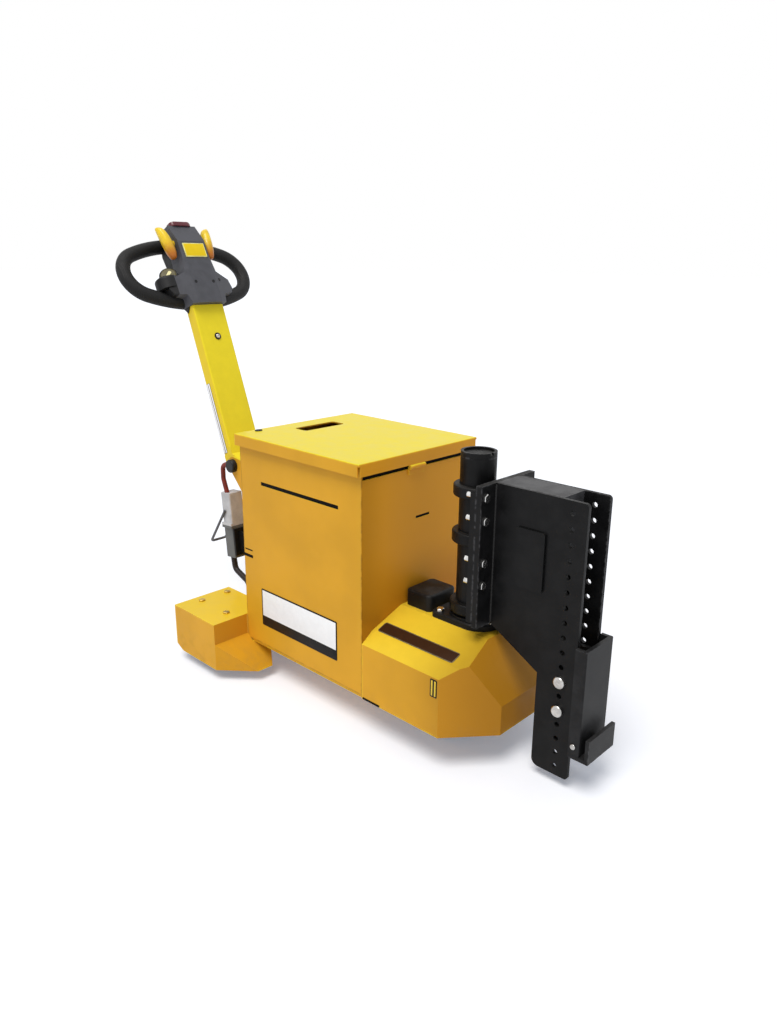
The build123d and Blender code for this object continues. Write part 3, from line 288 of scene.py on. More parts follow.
def yellow_coat(name, box, top_light_range=(0.12, 0.75, 1.0), shade=0.9, top_light_colour=None, deep=1.0, painted_shade_along=None,
                low_painted_shade=0.0, black=None, edge_tone=None):
    """Powder coat with orange peel, painted top light and shade, paler edges of rubbed paint and
    painted highlight, dust at the foot and small chips.

    top_light_range: how far a face looks up where the painted top light starts and is full, and
    its share.
    shade, deep: share and strength of the painted shade on faces turned to the mast.
    dim: where a darker painted shade starts and is full along the machine, and its share.
    low_painted_shade: that shade's share low down on faces turned to the mast. black: the point
    behind and below which all is black.
    """
    tone = colours()
    top_light_colour = top_light_colour or tone.paint_top_lit
    shade_brown = (0.24, 0.095, 0.006)
    finish = Finish(name, roughness=0.36, specular=0.13)
    spot = finish.spot()
    along, across, height = finish.split(spot)
    ahead, _, up = finish.split(finish.spot("Normal"))
    mottle = finish.noise(spot, 6.5, 3.0)
    cloud = finish.noise(spot, 38.0, 4.0, 0.6)
    grain = finish.noise(spot, 900.0, 2.0)
    base = finish.mix(mottle.step(0.3, 0.72), scaled(tone.paint, 0.94), scaled(tone.paint, 1.06))
    # Faces turned to the mast take a darker orange copy of the coat: painted shade
    turned = ahead.step(0.45, 0.95, 0.0, shade)
    base = finish.mix(turned, base, scaled(tone.paint_shaded, deep))
    # A darker painted shade low down on faces turned to the mast, and on them near the right side
    base = finish.mix(turned * height.step(0.24, 0.42, low_painted_shade, 0.0), base, shade_brown)
    beside = across.step(box[0].y, box[0].y + 0.08, low_painted_shade * 0.7, 0.0)
    base = finish.mix(turned * beside, base, shade_brown)
    # Faces that look up take a paler copy of the coat: painted light from above
    painted_top_light = finish.mix(cloud.step(0.35, 0.7), scaled(top_light_colour, 0.96), top_light_colour)
    low, high, most = top_light_range
    base = finish.mix(up.step(low, high, 0.0, most) * (1.0 - turned), base, painted_top_light)
    # A darker painted shade growing along the machine towards the front
    if painted_shade_along is not None:
        start_x, full_x, share = painted_shade_along
        base = finish.mix(along.step(start_x, full_x, 0.0, share), base, shade_brown)
    # Paler edges: partly rubbed paint, partly a painted highlight
    edge_wear_and_highlight = edge_mask(finish, spot, box) * cloud.step(0.35, 0.6)
    base = finish.mix(edge_wear_and_highlight * 0.4, base, edge_tone or scaled(tone.paint_top_lit, 1.1))
    dust = height.step(0.03, 0.14, 1.0, 0.0) * finish.noise(spot, 34.0, 5.0, 0.6).step(0.42, 0.72)
    base = finish.mix(dust * 0.2, base, (0.25, 0.17, 0.08))
    chip = finish.noise(spot, 210.0, 3.0, 0.7).step(0.735, 0.755)
    chip = chip * edge_mask(finish, spot, box, 0.012)
    base = finish.mix(chip, base, (0.03, 0.026, 0.022))
    if black is not None:
        base = finish.mix((along < black.x) * (height < black.z), base, (0.01, 0.01, 0.01))
    roughness = cloud.step(0.25, 0.75, 0.3, 0.44) + dust * 0.25 + chip * 0.2
    relief = finish.bump(grain * 0.7 + finish.noise(spot, 260.0, 1.0) * 0.6 - chip, 0.00012, 0.55)
    return finish.give(base_color=base, roughness=roughness, normal=relief)


def black_coat(name, box, tint=1.0):
    """Satin black coat with fine grain, paler edges of rubbed paint and painted highlight, and a
    little dust.
    """
    tone = scaled(colours().black, tint)
    finish = Finish(name, roughness=0.4, specular=0.16)
    spot = finish.spot()
    cloud = finish.noise(spot, 24.0, 5.0, 0.6)
    grain = finish.noise(spot, 1100.0, 2.0)
    up = finish.split(finish.spot("Normal"))[2]
    base = finish.mix(cloud.step(0.35, 0.7), scaled(tone, 0.75), scaled(tone, 1.5))
    # Paler edges: partly rubbed paint, partly a painted highlight
    edge_wear_and_highlight = edge_mask(finish, spot, box, 0.0035) * finish.noise(spot, 120.0, 4.0).step(0.42, 0.62)
    base = finish.mix(edge_wear_and_highlight * 0.55, base, (0.09, 0.09, 0.095))
    dust = up.step(0.5, 0.95) * cloud.step(0.4, 0.75)
    base = finish.mix(dust * 0.3, base, (0.06, 0.055, 0.05))
    scratch = finish.noise(finish.stretched(spot, 30.0, 30.0, 900.0), 1.0, 2.0).step(0.74, 0.78)
    roughness = cloud.step(0.2, 0.8, 0.32, 0.5) - edge_wear_and_highlight * 0.1 + dust * 0.2 - scratch * 0.08
    relief = finish.bump(grain + scratch * 0.4, 0.0001, 0.5)
    return finish.give(base_color=base, roughness=roughness, normal=relief)


def bare_metal(name, colour, roughness=0.28, turning=(160.0, 2600.0, 160.0)):
    """Plated or machined metal: fine lines, scattered stains and duller patches."""
    finish = Finish(name, roughness=roughness, metallic=1.0)
    spot = finish.spot()
    cloud = finish.noise(spot, 75.0, 4.0, 0.6)
    lines = finish.noise(finish.stretched(spot, *turning), 1.0, 2.0)
    base = finish.mix(cloud.step(0.32, 0.7), scaled(colour, 0.72), scaled(colour, 1.08))
    stain = finish.noise(spot, 320.0, 3.0).step(0.6, 0.72)
    base = finish.mix(stain * 0.35, base, (0.16, 0.13, 0.10))
    rough = cloud.step(0.25, 0.75, roughness * 0.75, roughness * 1.35) + stain * 0.2
    relief = finish.bump(lines + cloud * 0.5, 0.00006, 0.5)
    return finish.give(base_color=base, roughness=rough, normal=relief)


def moulded(name, colour, roughness=0.45, coat=0.0, specular=0.3, matrix=None, rear=None,
            foot=None):
    """Moulded plastic with a spark-eroded grain.

    rear: depth, side and colour of the darker shell behind a seam. foot: painted shade, the colour
    of the lower end and the heights between which it turns into the other colour. matrix: the axes
    for both.
    """
    finish = Finish(name, roughness=roughness, specular=specular, coat=coat)
    spot = finish.spot()
    cloud = finish.noise(spot, 45.0, 3.0)
    grain = finish.noise(spot, 1500.0, 2.0)
    base = finish.mix(cloud.step(0.3, 0.7), scaled(colour, 0.88), scaled(colour, 1.1))
    height = grain * 0.6
    rough = cloud.step(0.25, 0.75, roughness * 0.85, roughness * 1.2)
    if foot is not None:
        # The lower end turns to another colour: painted shade
        shaded_end_colour, low, high = foot
        along = finish.split(finish.turned(matrix))[2]
        base = finish.mix(along.step(low, high), shaded_end_colour, base)
    if rear is not None:
        depth, side, rear_colour = rear
        ahead, across, _ = finish.split(finish.turned(matrix))
        inside = (ahead - depth).least(across - side)
        base = finish.mix(inside.step(-0.0006, 0.0006), rear_colour, base)
        seam = inside.size().step(0.0, 0.0011, 1.0, 0.0)
        base = finish.mix(seam * 0.8, base, (0.004, 0.004, 0.004))
        height = height - seam * 8.0
    rubbed = finish.noise(spot, 130.0, 4.0, 0.65).step(0.6, 0.75)
    base = finish.mix(rubbed * 0.12, base, scaled(colour, 1.7))
    return finish.give(base_color=base, roughness=rough, normal=finish.bump(height, 0.00014, 0.5))


def rubber(name, colour, roughness=0.75, ribs=None, scuff=0.25, tread=None):
    """Rubber with a dusty bloom, and ribs across one axis or dirt on a rolling face."""
    finish = Finish(name, roughness=roughness, specular=0.3)
    spot = finish.spot()
    cloud = finish.noise(spot, 60.0, 5.0, 0.65)
    grain = finish.noise(spot, 1300.0, 2.0)
    base = finish.mix(cloud.step(0.35, 0.72), scaled(colour, 0.8), scaled(colour, 1.35))
    height = grain * 0.5
    if ribs is not None:
        axis, pitch, matrix = ribs
        along = finish.split(finish.turned(matrix))[axis]
        rib = (along * (2 * pi / pitch)).sine()
        height = height + rib * 1.1
        # Darker in the troughs between the ribs: painted shade
        base = finish.mix(rib.step(-1.0, -0.2, 0.45, 0.0), base, scaled(colour, 0.45))
    if tread is not None:
        centre, radius = tread
        x, _, z = finish.split(spot)
        reach = ((x - centre.x) ** 2.0 + (z - centre.z) ** 2.0) ** 0.5
        dirt = reach.step(radius - 0.004, radius - 0.001) * cloud.step(0.3, 0.6)
        base = finish.mix(dirt * 0.7, base, (0.07, 0.06, 0.05))
    bloom = finish.noise(spot, 210.0, 4.0).step(0.55, 0.72)
    base = finish.mix(bloom * scuff, base, scaled(colour, 2.0))
    rough = cloud.step(0.2, 0.8, roughness * 0.85, min(1.0, roughness * 1.15))
    return finish.give(base_color=base, roughness=rough, normal=finish.bump(height, 0.00035, 0.6))


def printed(name, field, dark, matrix, half, border, band=0.0, line=None):
    """A blank printed plate in its own axes: pale field, dark outline, dark foot band or line."""
    finish = Finish(name, roughness=0.33, specular=0.1)
    spot = finish.spot()
    across, up, _ = finish.split(finish.turned(matrix))
    soft = 0.0004
    edge = (across.size() - (half[0] - border)).step(-soft, soft)
    edge = edge.most((up.size() - (half[1] - border)).step(-soft, soft))
    if band:
        edge = edge.most((up + (half[1] - band)).step(-soft, soft, 1.0, 0.0))
    if line is not None:
        centre, width = line
        wire = across if half[0] < half[1] else up
        edge = edge.most(((wire - centre).size() - width).step(-soft, soft, 1.0, 0.0))
    cloud = finish.noise(spot, 55.0, 4.0, 0.6)
    ink = finish.mix(cloud.step(0.3, 0.7), scaled(dark, 0.8), scaled(dark, 1.4))
    face = finish.mix(cloud.step(0.35, 0.75), scaled(field, 0.95), field)
    base = finish.mix(edge, face, ink)
    grime = finish.noise(spot, 240.0, 5.0, 0.7).step(0.62, 0.78)
    base = finish.mix(grime * 0.1, base, (0.33, 0.28, 0.2))
    rough = cloud.step(0.25, 0.75, 0.28, 0.42) + grime * 0.2
    relief = finish.bump(edge * 0.6 + finish.noise(spot, 700.0, 1.0) * 0.3, 0.00006, 0.4)
    return finish.give(base_color=base, roughness=rough, normal=relief)


def weld_metal(name, colour, matrix):
    """A painted weld bead with its overlapping ripples."""
    pitch = 0.0032
    finish = Finish(name, roughness=0.42, specular=0.35)
    spot = finish.spot()
    along = finish.split(finish.turned(matrix))[2]
    wobble = finish.noise(spot, 180.0, 3.0)
    ripple = (along * (2 * pi / pitch) + wobble * 3.0).sine()
    # Darker between the ripples: painted shade
    base = finish.mix(ripple.step(-1.0, 0.3), scaled(colour, 0.7), scaled(colour, 1.05))
    rough = wobble.step(0.25, 0.75, 0.34, 0.55)
    relief = finish.bump(ripple + wobble, 0.0005, 0.7)
    return finish.give(base_color=base, roughness=rough, normal=relief)


def wear(piece, material):
    piece.data.materials.clear()
    piece.data.materials.append(material)


# Modelling

def object_mode():
    """Leaves edit mode, with nothing selected."""
    if bpy.context.mode != "OBJECT":
        bpy.ops.object.mode_set(mode="OBJECT")
    bpy.ops.object.select_all(action="DESELECT")


def start(add, name, **options):
    """Adds a primitive and opens it in edit mode."""
    object_mode()
    add(**options)
    piece = bpy.context.object
    piece.name = name
    piece.data.name = name
    bpy.ops.object.mode_set(mode="EDIT")
    return piece


def drum(name, vertices, radius, depth, base=0.0, **options):
    """A cylinder that stands on a height of its own axis."""
    return start(bpy.ops.mesh.primitive_cylinder_add, name, vertices=vertices, radius=radius,
                 depth=depth, location=(0, 0, base + depth / 2), **options)


def stretch(x, y, z):
    """In edit mode, sizes the whole mesh."""
    bpy.ops.mesh.select_all(action="SELECT")
    bpy.ops.transform.resize(value=(x, y, z))


def raise_faces(height):
    """In edit mode, extrudes the selected faces along Z."""
    bpy.ops.mesh.extrude_region_move(TRANSFORM_OT_translate={"value": (0, 0, height)})


def soften(offset, segments=2):
    """In edit mode, bevels the selected edges."""
    bpy.ops.mesh.bevel(offset=offset, segments=segments, affect="EDGES")


def pick(piece, kind, test):
    """In edit mode, selects the faces, edges or points that pass a test."""
    bpy.ops.mesh.select_mode(type=kind)
    bpy.ops.mesh.select_all(action="DESELECT")
    mesh = bmesh.from_edit_mesh(piece.data)
    for part in {"VERT": mesh.verts, "EDGE": mesh.edges, "FACE": mesh.faces}[kind]:
        if test(part):
            part.select_set(True)
    mesh.select_flush_mode()
    bmesh.update_edit_mesh(piece.data)


def middle(part):
    return sum((corner.co for corner in part.verts), Vector()) / len(part.verts)


def settle(piece, matrix, body, material, replaces=()):
    """Moves a finished mesh to its place, shades it and ties it to what carries it."""
    object_mode()
    piece.select_set(True)
    bpy.context.view_layer.objects.active = piece
    bpy.ops.object.transform_apply(location=True, rotation=True, scale=True)
    piece.matrix_world = matrix
    bpy.ops.object.transform_apply(location=True, rotation=True, scale=True)
    bpy.ops.object.shade_smooth_by_angle(angle=radians(35))
    wear(piece, material)
    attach(piece, body)
    if replaces:
        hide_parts(*replaces)
    return piece


def rounded_plate(name, length, height, thick, corner, rim):
    """A flat plate drawn from a plane: rounded corners, raised, with a softened rim."""
    piece = start(bpy.ops.mesh.primitive_plane_add, name, size=1)
    stretch(length, height, 1)
    bpy.ops.mesh.bevel(offset=corner, segments=5, affect="VERTICES")
    bpy.ops.mesh.select_all(action="SELECT")
    raise_faces(thick)
    pick(piece, "EDGE", lambda edge: all(point.co.z > thick * 0.9 for point in edge.verts))
    soften(rim)
    bpy.ops.mesh.select_all(action="SELECT")
    bpy.ops.mesh.normals_make_consistent(inside=False)
    return piece


def hex_fixing(name, radius, high):
    """A hexagon head with a turned top face, standing on its washer."""
    head = drum(name, 6, radius, high)
    pick(head, "FACE", lambda face: face.normal.z > 0.9)
    bpy.ops.mesh.inset(thickness=radius * 0.12, depth=radius * 0.09)
    pick(head, "EDGE", lambda edge: abs(edge.verts[0].co.z - edge.verts[1].co.z) > high * 0.5)
    soften(radius * 0.05)
    ring = drum(name + "_washer", 28, radius * 1.16, high * 0.2)
    pick(ring, "EDGE", lambda edge: all(point.co.z > 0 for point in edge.verts))
    soften(high * 0.05)
    return join(name, [head, ring])


def domed_fixing(name, radius, high, socket=True):
    """A round head with a domed top, and a round socket in it if it has one."""
    head = drum(name, 32, radius, high)
    pick(head, "EDGE", lambda edge: all(point.co.z > high * 0.4 for point in edge.verts))
    soften(high * 0.7, 5)
    if socket:
        pick(head, "FACE", lambda face: face.normal.z > 0.99 and len(face.verts) > 8)
        bpy.ops.mesh.inset(thickness=radius * 0.08)
        raise_faces(-high * 0.35)
    return head


def join(name, pieces):
    object_mode()
    for piece in pieces:
        piece.select_set(True)
    bpy.context.view_layer.objects.active = pieces[0]
    bpy.ops.object.join()
    pieces[0].name = name
    return pieces[0]


def copies(name, model, places):
    """One piece made of a fixing repeated at several places; the first model is used up."""
    made = []
    for number, matrix in enumerate(places):
        object_mode()
        model.select_set(True)
        bpy.context.view_layer.objects.active = model
        bpy.ops.object.duplicate()
        twin = bpy.context.object
        twin.name = f"{name}_{number}"
        twin.matrix_world = matrix
        bpy.ops.object.transform_apply(location=True, rotation=True, scale=True)
        made.append(twin)
    bpy.data.objects.remove(model)
    return join(name, made)


def weld_bead(name, first, last, radius, body, colour):
    """A half-sunk bead between two points, with rounded ends."""
    run = last - first
    bead = drum(name, 12, radius, run.length, -run.length / 2)
    pick(bead, "FACE", lambda face: abs(face.normal.z) > 0.9)
    bpy.ops.mesh.inset(thickness=radius * 0.5, depth=radius * 0.4)
    turn = run.to_track_quat("Z", "Y").to_matrix().to_4x4()
    matrix = Matrix.Translation((first + last) / 2) @ turn
    return settle(bead, matrix, body, weld_metal(name, colour, matrix))


def label(name, width, height, matrix, body, slot, field, dark, border, corner=0.002,
          thick=None, rim=0.0003, **options):
    """A blank printed plate, settled on a face."""
    plate = rounded_plate(name, width, height, thick or sizes().plate_thickness, corner, rim)
    face = printed(name, field, dark, matrix, (width / 2, height / 2), border, **options)
    return settle(plate, matrix, body, face)


def dull_black(name):
    return moulded(name, (0.006, 0.005, 0.005), 0.7, specular=0.06)


def dark_insert(name, face, length, height, sunk, corner=0.0015):
    """A black plate let into a face of the chassis."""
    plate = rounded_plate(name, length, height, thick=0.0016, corner=corner, rim=0.0003)
    matrix = face @ Matrix.Translation((0, 0, -sunk))
    return settle(plate, matrix, "chassis", dull_black(name))


# Pieces, one operator each

# The photo's camera; its focal length and shifts are in pixels of the photo
CAMERA_PLACE = (1.38008, -1.28653, 1.0215)
CAMERA_ACROSS, CAMERA_UP = Vector((0.72146, 0.6924, 0.00925)), Vector((-0.20385, 0.1996, 0.95844))
PHOTO_HEIGHT, FOCAL_LENGTH, SHIFT_X, SHIFT_Y = 1010, 800, -3.4, -7.0
SENSOR = 36


class TUG_OT_stage(bpy.types.Operator):
    """Floor, sky, sun and camera"""
    bl_idname = "tug.stage"
    bl_label = "Studio"

    def execute(self, context):
        floor = start(bpy.ops.mesh.primitive_plane_add, "floor", size=120)
        object_mode()
        finish = Finish("floor_paper", roughness=0.9, specular=0.0)
        grain = finish.noise(finish.spot(), 40.0, 3.0)
        finish.give(base_color=finish.mix(grain, (0.865, 0.875, 0.9), (0.88, 0.89, 0.915)))
        seen = finish.node("ShaderNodeLightPath", out="Is Camera Ray")
        glow = finish.node("ShaderNodeEmission", None, {"Color": (0.80, 0.86, 1.0, 1.0),
                                                        "Strength": seen * 0.22})
        total = finish.node("ShaderNodeAddShader", None,
                            {0: Wire(finish, finish.shader.outputs[0]), 1: glow})
        output = finish.tree.nodes["Material Output"]
        finish.tree.links.new(total.socket, output.inputs["Surface"])
        wear(floor, finish.material)

        # A bluish sky lights the machine; the camera, reflections and glass see plain white
        world = bpy.data.worlds.new("studio")
        context.scene.world = world
        world.use_nodes = True
        tree = world.node_tree
        tree.nodes.clear()
        path = tree.nodes.new("ShaderNodeLightPath")
        shown = path.outputs["Is Camera Ray"]
        for ray in ("Is Glossy Ray", "Is Transmission Ray"):
            either = tree.nodes.new("ShaderNodeMath")
            either.operation = "MAXIMUM"
            tree.links.new(shown, either.inputs[0])
            tree.links.new(path.outputs[ray], either.inputs[1])
            shown = either.outputs[0]
        both = tree.nodes.new("ShaderNodeMixShader")
        tree.links.new(shown, both.inputs[0])
        for number, colour, strength in ((1, (0.90, 0.94, 1.0), 0.5), (2, (1.0, 1.0, 1.0), 1.0)):
            light = tree.nodes.new("ShaderNodeBackground")
            light.inputs["Color"].default_value = (*colour, 1.0)
            light.inputs["Strength"].default_value = strength
            tree.links.new(light.outputs[0], both.inputs[number])
        output = tree.nodes.new("ShaderNodeOutputWorld")
        tree.links.new(both.outputs[0], output.inputs["Surface"])

        bpy.ops.object.light_add(type="SUN", location=(0, -1, 4))
        sun = context.object
        sun.name = "sun"
        sun.data.energy = 2.05
        sun.data.angle = radians(32)
        sun.data.color = (1.0, 0.97, 0.93)
        sun.rotation_euler = Vector((0.1, -0.4, 0.92)).to_track_quat("Z", "Y").to_euler()

        bpy.ops.object.camera_add()
        camera = context.object
        camera.name = "camera"
        turn = Matrix((CAMERA_ACROSS, CAMERA_UP, CAMERA_ACROSS.cross(CAMERA_UP)))
        camera.matrix_world = Matrix.Translation(CAMERA_PLACE) @ turn.transposed().to_4x4()
        camera.data.sensor_width = SENSOR
        camera.data.lens = SENSOR * FOCAL_LENGTH / PHOTO_HEIGHT
        camera.data.shift_x = SHIFT_X / PHOTO_HEIGHT
        camera.data.shift_y = SHIFT_Y / PHOTO_HEIGHT
        context.scene.camera = camera
        context.scene.view_settings.view_transform = "Standard"
        return {"FINISHED"}


class TUG_OT_frame_finishes(bpy.types.Operator):
    """Paint, metal, rubber and plastic on the machine's own parts"""
    bl_idname = "tug.frame_finishes"
    bl_label = "Finishes of the frame"

    def execute(self, context):
        tone = colours()
        # The drive housing: painted top light in a deeper yellow, and painted shade growing
        # towards its front
        housing = {"top_light_range": (0.12, 0.75, 0.92), "top_light_colour": (0.87, 0.60, 0.035),
                   "painted_shade_along": (place(520, 0, 0).x, place(728, 0, 0).x, 0.6)}
        # The castor housings: less painted top light, and darker painted shade on faces turned to
        # the mast
        castor = {"top_light_range": (0.7, 0.98, 0.65), "deep": 0.8}
        for name, options in (
                ("lid_panel", {}), ("lid_hinge", {}), ("chassis_frame", {}),
                # The body: painted shade low on faces turned to the mast, and dark edges
                ("body_shell", {"low_painted_shade": 0.5, "edge_tone": (0.12, 0.045, 0.006)}),
                ("drive_housing", housing),
                ("castor_housing_right", castor), ("castor_housing_left", castor),
                ("tiller_tower", {"black": place(-159, 0, 350)}),
                # The arm: painted sunlight on nearly every face, and no painted shade
                ("tiller_arm", {"top_light_range": (-0.5, 0.3, 1.0), "shade": 0.0,
                                "top_light_colour": tone.paint_sunlit})):
            wear(NODES[name], yellow_coat("coat_" + name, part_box(name), **options))
        for name, tint in (("mast_post", 1.0), ("mast_foot", 1.2), ("mast_block", 1.6),
                           ("post_cap", 1.0), ("slide_carriage", 1.0), ("hitch_backplate", 1.0),
                           ("side_plate_right", 1.0), ("side_plate_left", 1.0),
                           ("hitch_spacer", 9.0), ("hitch_cradle", 2.4)):
            wear(NODES[name], black_coat("coat_" + name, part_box(name), tint))
        for names, metal in (
                (("cradle_bolts", "foot_bolts", "carriage_bolts", "castor_bolts_right",
                  "castor_bolts_left"), bare_metal("bright_zinc", (0.68, 0.67, 0.65), 0.2)),
                (("castor_mount_right", "castor_mount_left", "castor_fork_right",
                  "castor_fork_left", "plug_bail"),
                 bare_metal("dark_steel", (0.16, 0.16, 0.17), 0.38)),
                (("drive_hub_right", "drive_hub_left", "castor_hub_right", "castor_hub_left",
                  "drive_unit"),
                 bare_metal("cast_metal", (0.33, 0.33, 0.34), 0.45, (300.0, 300.0, 300.0)))):
            for name in names:
                wear(NODES[name], metal)
        # The levers' lower ends turn darker: painted shade
        lever = {"coat": 0.2, "matrix": HEAD, "foot": ((0.52, 0.15, 0.012), 0.140, 0.196)}
        shell = {"matrix": HEAD, "rear": (-0.050, -0.080, (0.008, 0.008, 0.009))}
        for name, finish, colour, roughness, options in (
                ("pivot_pin", "pivot_cap", (0.012, 0.012, 0.013), 0.35, {}),
                ("paddle_right", "lever_right", tone.lever, 0.3, lever),
                ("paddle_left", "lever_left", tone.lever, 0.3, lever),
                ("tiller_head", "head_shell", tone.head, 0.48, shell),
                ("head_button", "head_button", tone.button, 0.3, {"coat": 0.4}),
                ("battery_block", "battery_case", (0.02, 0.02, 0.022), 0.5, {}),
                ("battery_plug", "plug_shell", (0.52, 0.52, 0.53), 0.42, {}),
                ("battery_socket", "socket_shell", (0.13, 0.133, 0.13), 0.45, {})):
            wear(NODES[name], moulded(finish, colour, roughness, **options))
        for side, _ in SIDES:
            for node, finish, colour, roughness in (
                    ("drive_tyre_", "drive_rubber_", tone.tyre, 0.8),
                    ("castor_tread_", "castor_rubber_", (0.05, 0.05, 0.053), 0.6)):
                low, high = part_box(node + side)
                wear(NODES[node + side], rubber(finish + side, colour, roughness, tread=(
                    (low + high) / 2, (high.z - low.z) / 2)))
        wear(NODES["grip_loop"], rubber("grip_foam", (0.0075, 0.0075, 0.008), 0.62,
                                        ribs=(1, 0.0044, HEAD), scuff=0.15))
        wear(NODES["upper_lead"], rubber("lead_red", (0.17, 0.022, 0.014), 0.42, scuff=0.1))
        wear(NODES["lower_lead"], rubber("lead_black", (0.014, 0.010, 0.010), 0.42, scuff=0.15))
        return {"FINISHED"}


class TUG_OT_side_sign(bpy.types.Operator):
    """Blank sign with a dark outline and foot band, on the body's right side"""
    bl_idname = "tug.side_sign"
    bl_label = "Side sign"

    def execute(self, context):
        size = sizes()
        label("side_sign", size.sign_length, size.sign_height,
              facing(place(202.5, -SIDE, 191.5), AHEAD, UP), "chassis", "grey_plastic",
              field=colours().sign, dark=(0.008, 0.008, 0.009), border=size.sign_border,
              corner=0.003, band=size.sign_band)
        return {"FINISHED"}


class TUG_OT_slot_inserts(bpy.types.Operator):
    """Black backing in the body's slots and a black strip in the gap under the lid, both painted
    shade, and the foot strip of the housing
    """
    bl_idname = "tug.slot_inserts"
    bl_label = "Slot inserts"

    def execute(self, context):
        # The slot plates paint the slots black: painted shade inside them; the rear mark is a thin
        # dark mark
        # Each insert's name, X axis, place, length and height
        for name, across, origin, length, height in (
                ("side_slot_right", AHEAD, place(213, -SIDE, 511), 0.272, 0.0105),
                ("side_slot_left", (-1, 0, 0), place(213, SIDE, 511), 0.272, 0.0105),
                ("rear_slot", AHEAD, place(17.5, -SIDE - 1, 314), 0.034, 0.0075),
                ("rear_mark", AHEAD, place(19, -SIDE - 1, 330), 0.030, 0.0032),
                ("front_slot", LEFT, place(BODY_LENGTH, 12, 468), 0.048, 0.0085)):
            dark_insert(name + "_insert", facing(origin, across, UP), length, height, sunk=0.0022)
        # A black strip behind the gap under the lid's front skirt: painted shade in the gap
        gap_shade = start(bpy.ops.mesh.primitive_cube_add, "lid_gap_shade", size=1)
        stretch(0.006, 0.348, 0.024)
        soften(0.0012)
        settle(gap_shade, Matrix.Translation(place(BODY_LENGTH - 6.2, 0, 590)), "chassis",
               dull_black("lid_gap_shade"))
        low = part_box("drive_housing")[0]
        length, height = 0.052, 0.0052
        origin = (place(BODY_LENGTH + 29, 0, 0).x, low.y, low.z + height / 2)
        dark_insert("foot_strip", facing(origin, AHEAD, UP), length, height, sunk=0.0010,
                    corner=0.0008)
        return {"FINISHED"}


class TUG_OT_housing_labels(bpy.types.Operator):
    """Dark strip on the drive housing's slope, and the small blank tag under its corner"""
    bl_idname = "tug.housing_labels"
    bl_label = "Housing labels"

    def execute(self, context):
        size = sizes()
        slope_foot, rise, inward = place(538, -149, 236), Vector((0, 93, 33.5)), 19.5
        origin = slope_foot + rise * (inward / rise.y) / 1000
        label("slope_strip", size.strip_length, size.strip_width, facing(origin, AHEAD, rise),
              "chassis", "black_plastic", field=(0.045, 0.018, 0.008), dark=(0.15, 0.12, 0.07),
              border=0.0022, corner=0.006)
        label("housing_tag", size.tag_width, size.tag_height,
              facing(place(629, -SIDE, 190), AHEAD, UP), "chassis", "yellow_plastic",
              field=(0.85, 0.6, 0.06), dark=(0.015, 0.012, 0.01), border=0.0028,
              line=(0.0, 0.0022))
        return {"FINISHED"}


class TUG_OT_arm_fittings(bpy.types.Operator):
    """Pale strip on the arm's right side and the bolt near its upper end"""
    bl_idname = "tug.arm_fittings"
    bl_label = "Arm fittings"

    def execute(self, context):
        size = sizes()
        label("arm_label", size.arm_label_width, size.arm_label_length,
              ARM @ facing((-0.0355, -0.049, 0.138), AHEAD, UP), "tiller", "grey_plastic",
              field=colours().sign, dark=(0.03, 0.012, 0.014), border=0.0006,
              line=(0.001, 0.0011))
        matrix = ARM @ facing((-0.008, 0.004, 0.360), LEFT, UP)
        cup = drum("arm_bolt_cup", vertices=32, radius=0.0098, depth=0.0022)
        pick(cup, "EDGE", lambda edge: all(point.co.z > 0 for point in edge.verts))
        soften(0.0009, segments=3)
        settle(cup, matrix, "tiller",
               moulded("arm_bolt_cup", (0.012, 0.009, 0.007), 0.4))
        bolt = domed_fixing("arm_bolt", radius=0.0062, high=0.005)
        settle(bolt, matrix, "tiller",
               bare_metal("arm_bolt", (0.72, 0.68, 0.62), 0.18))
        return {"FINISHED"}


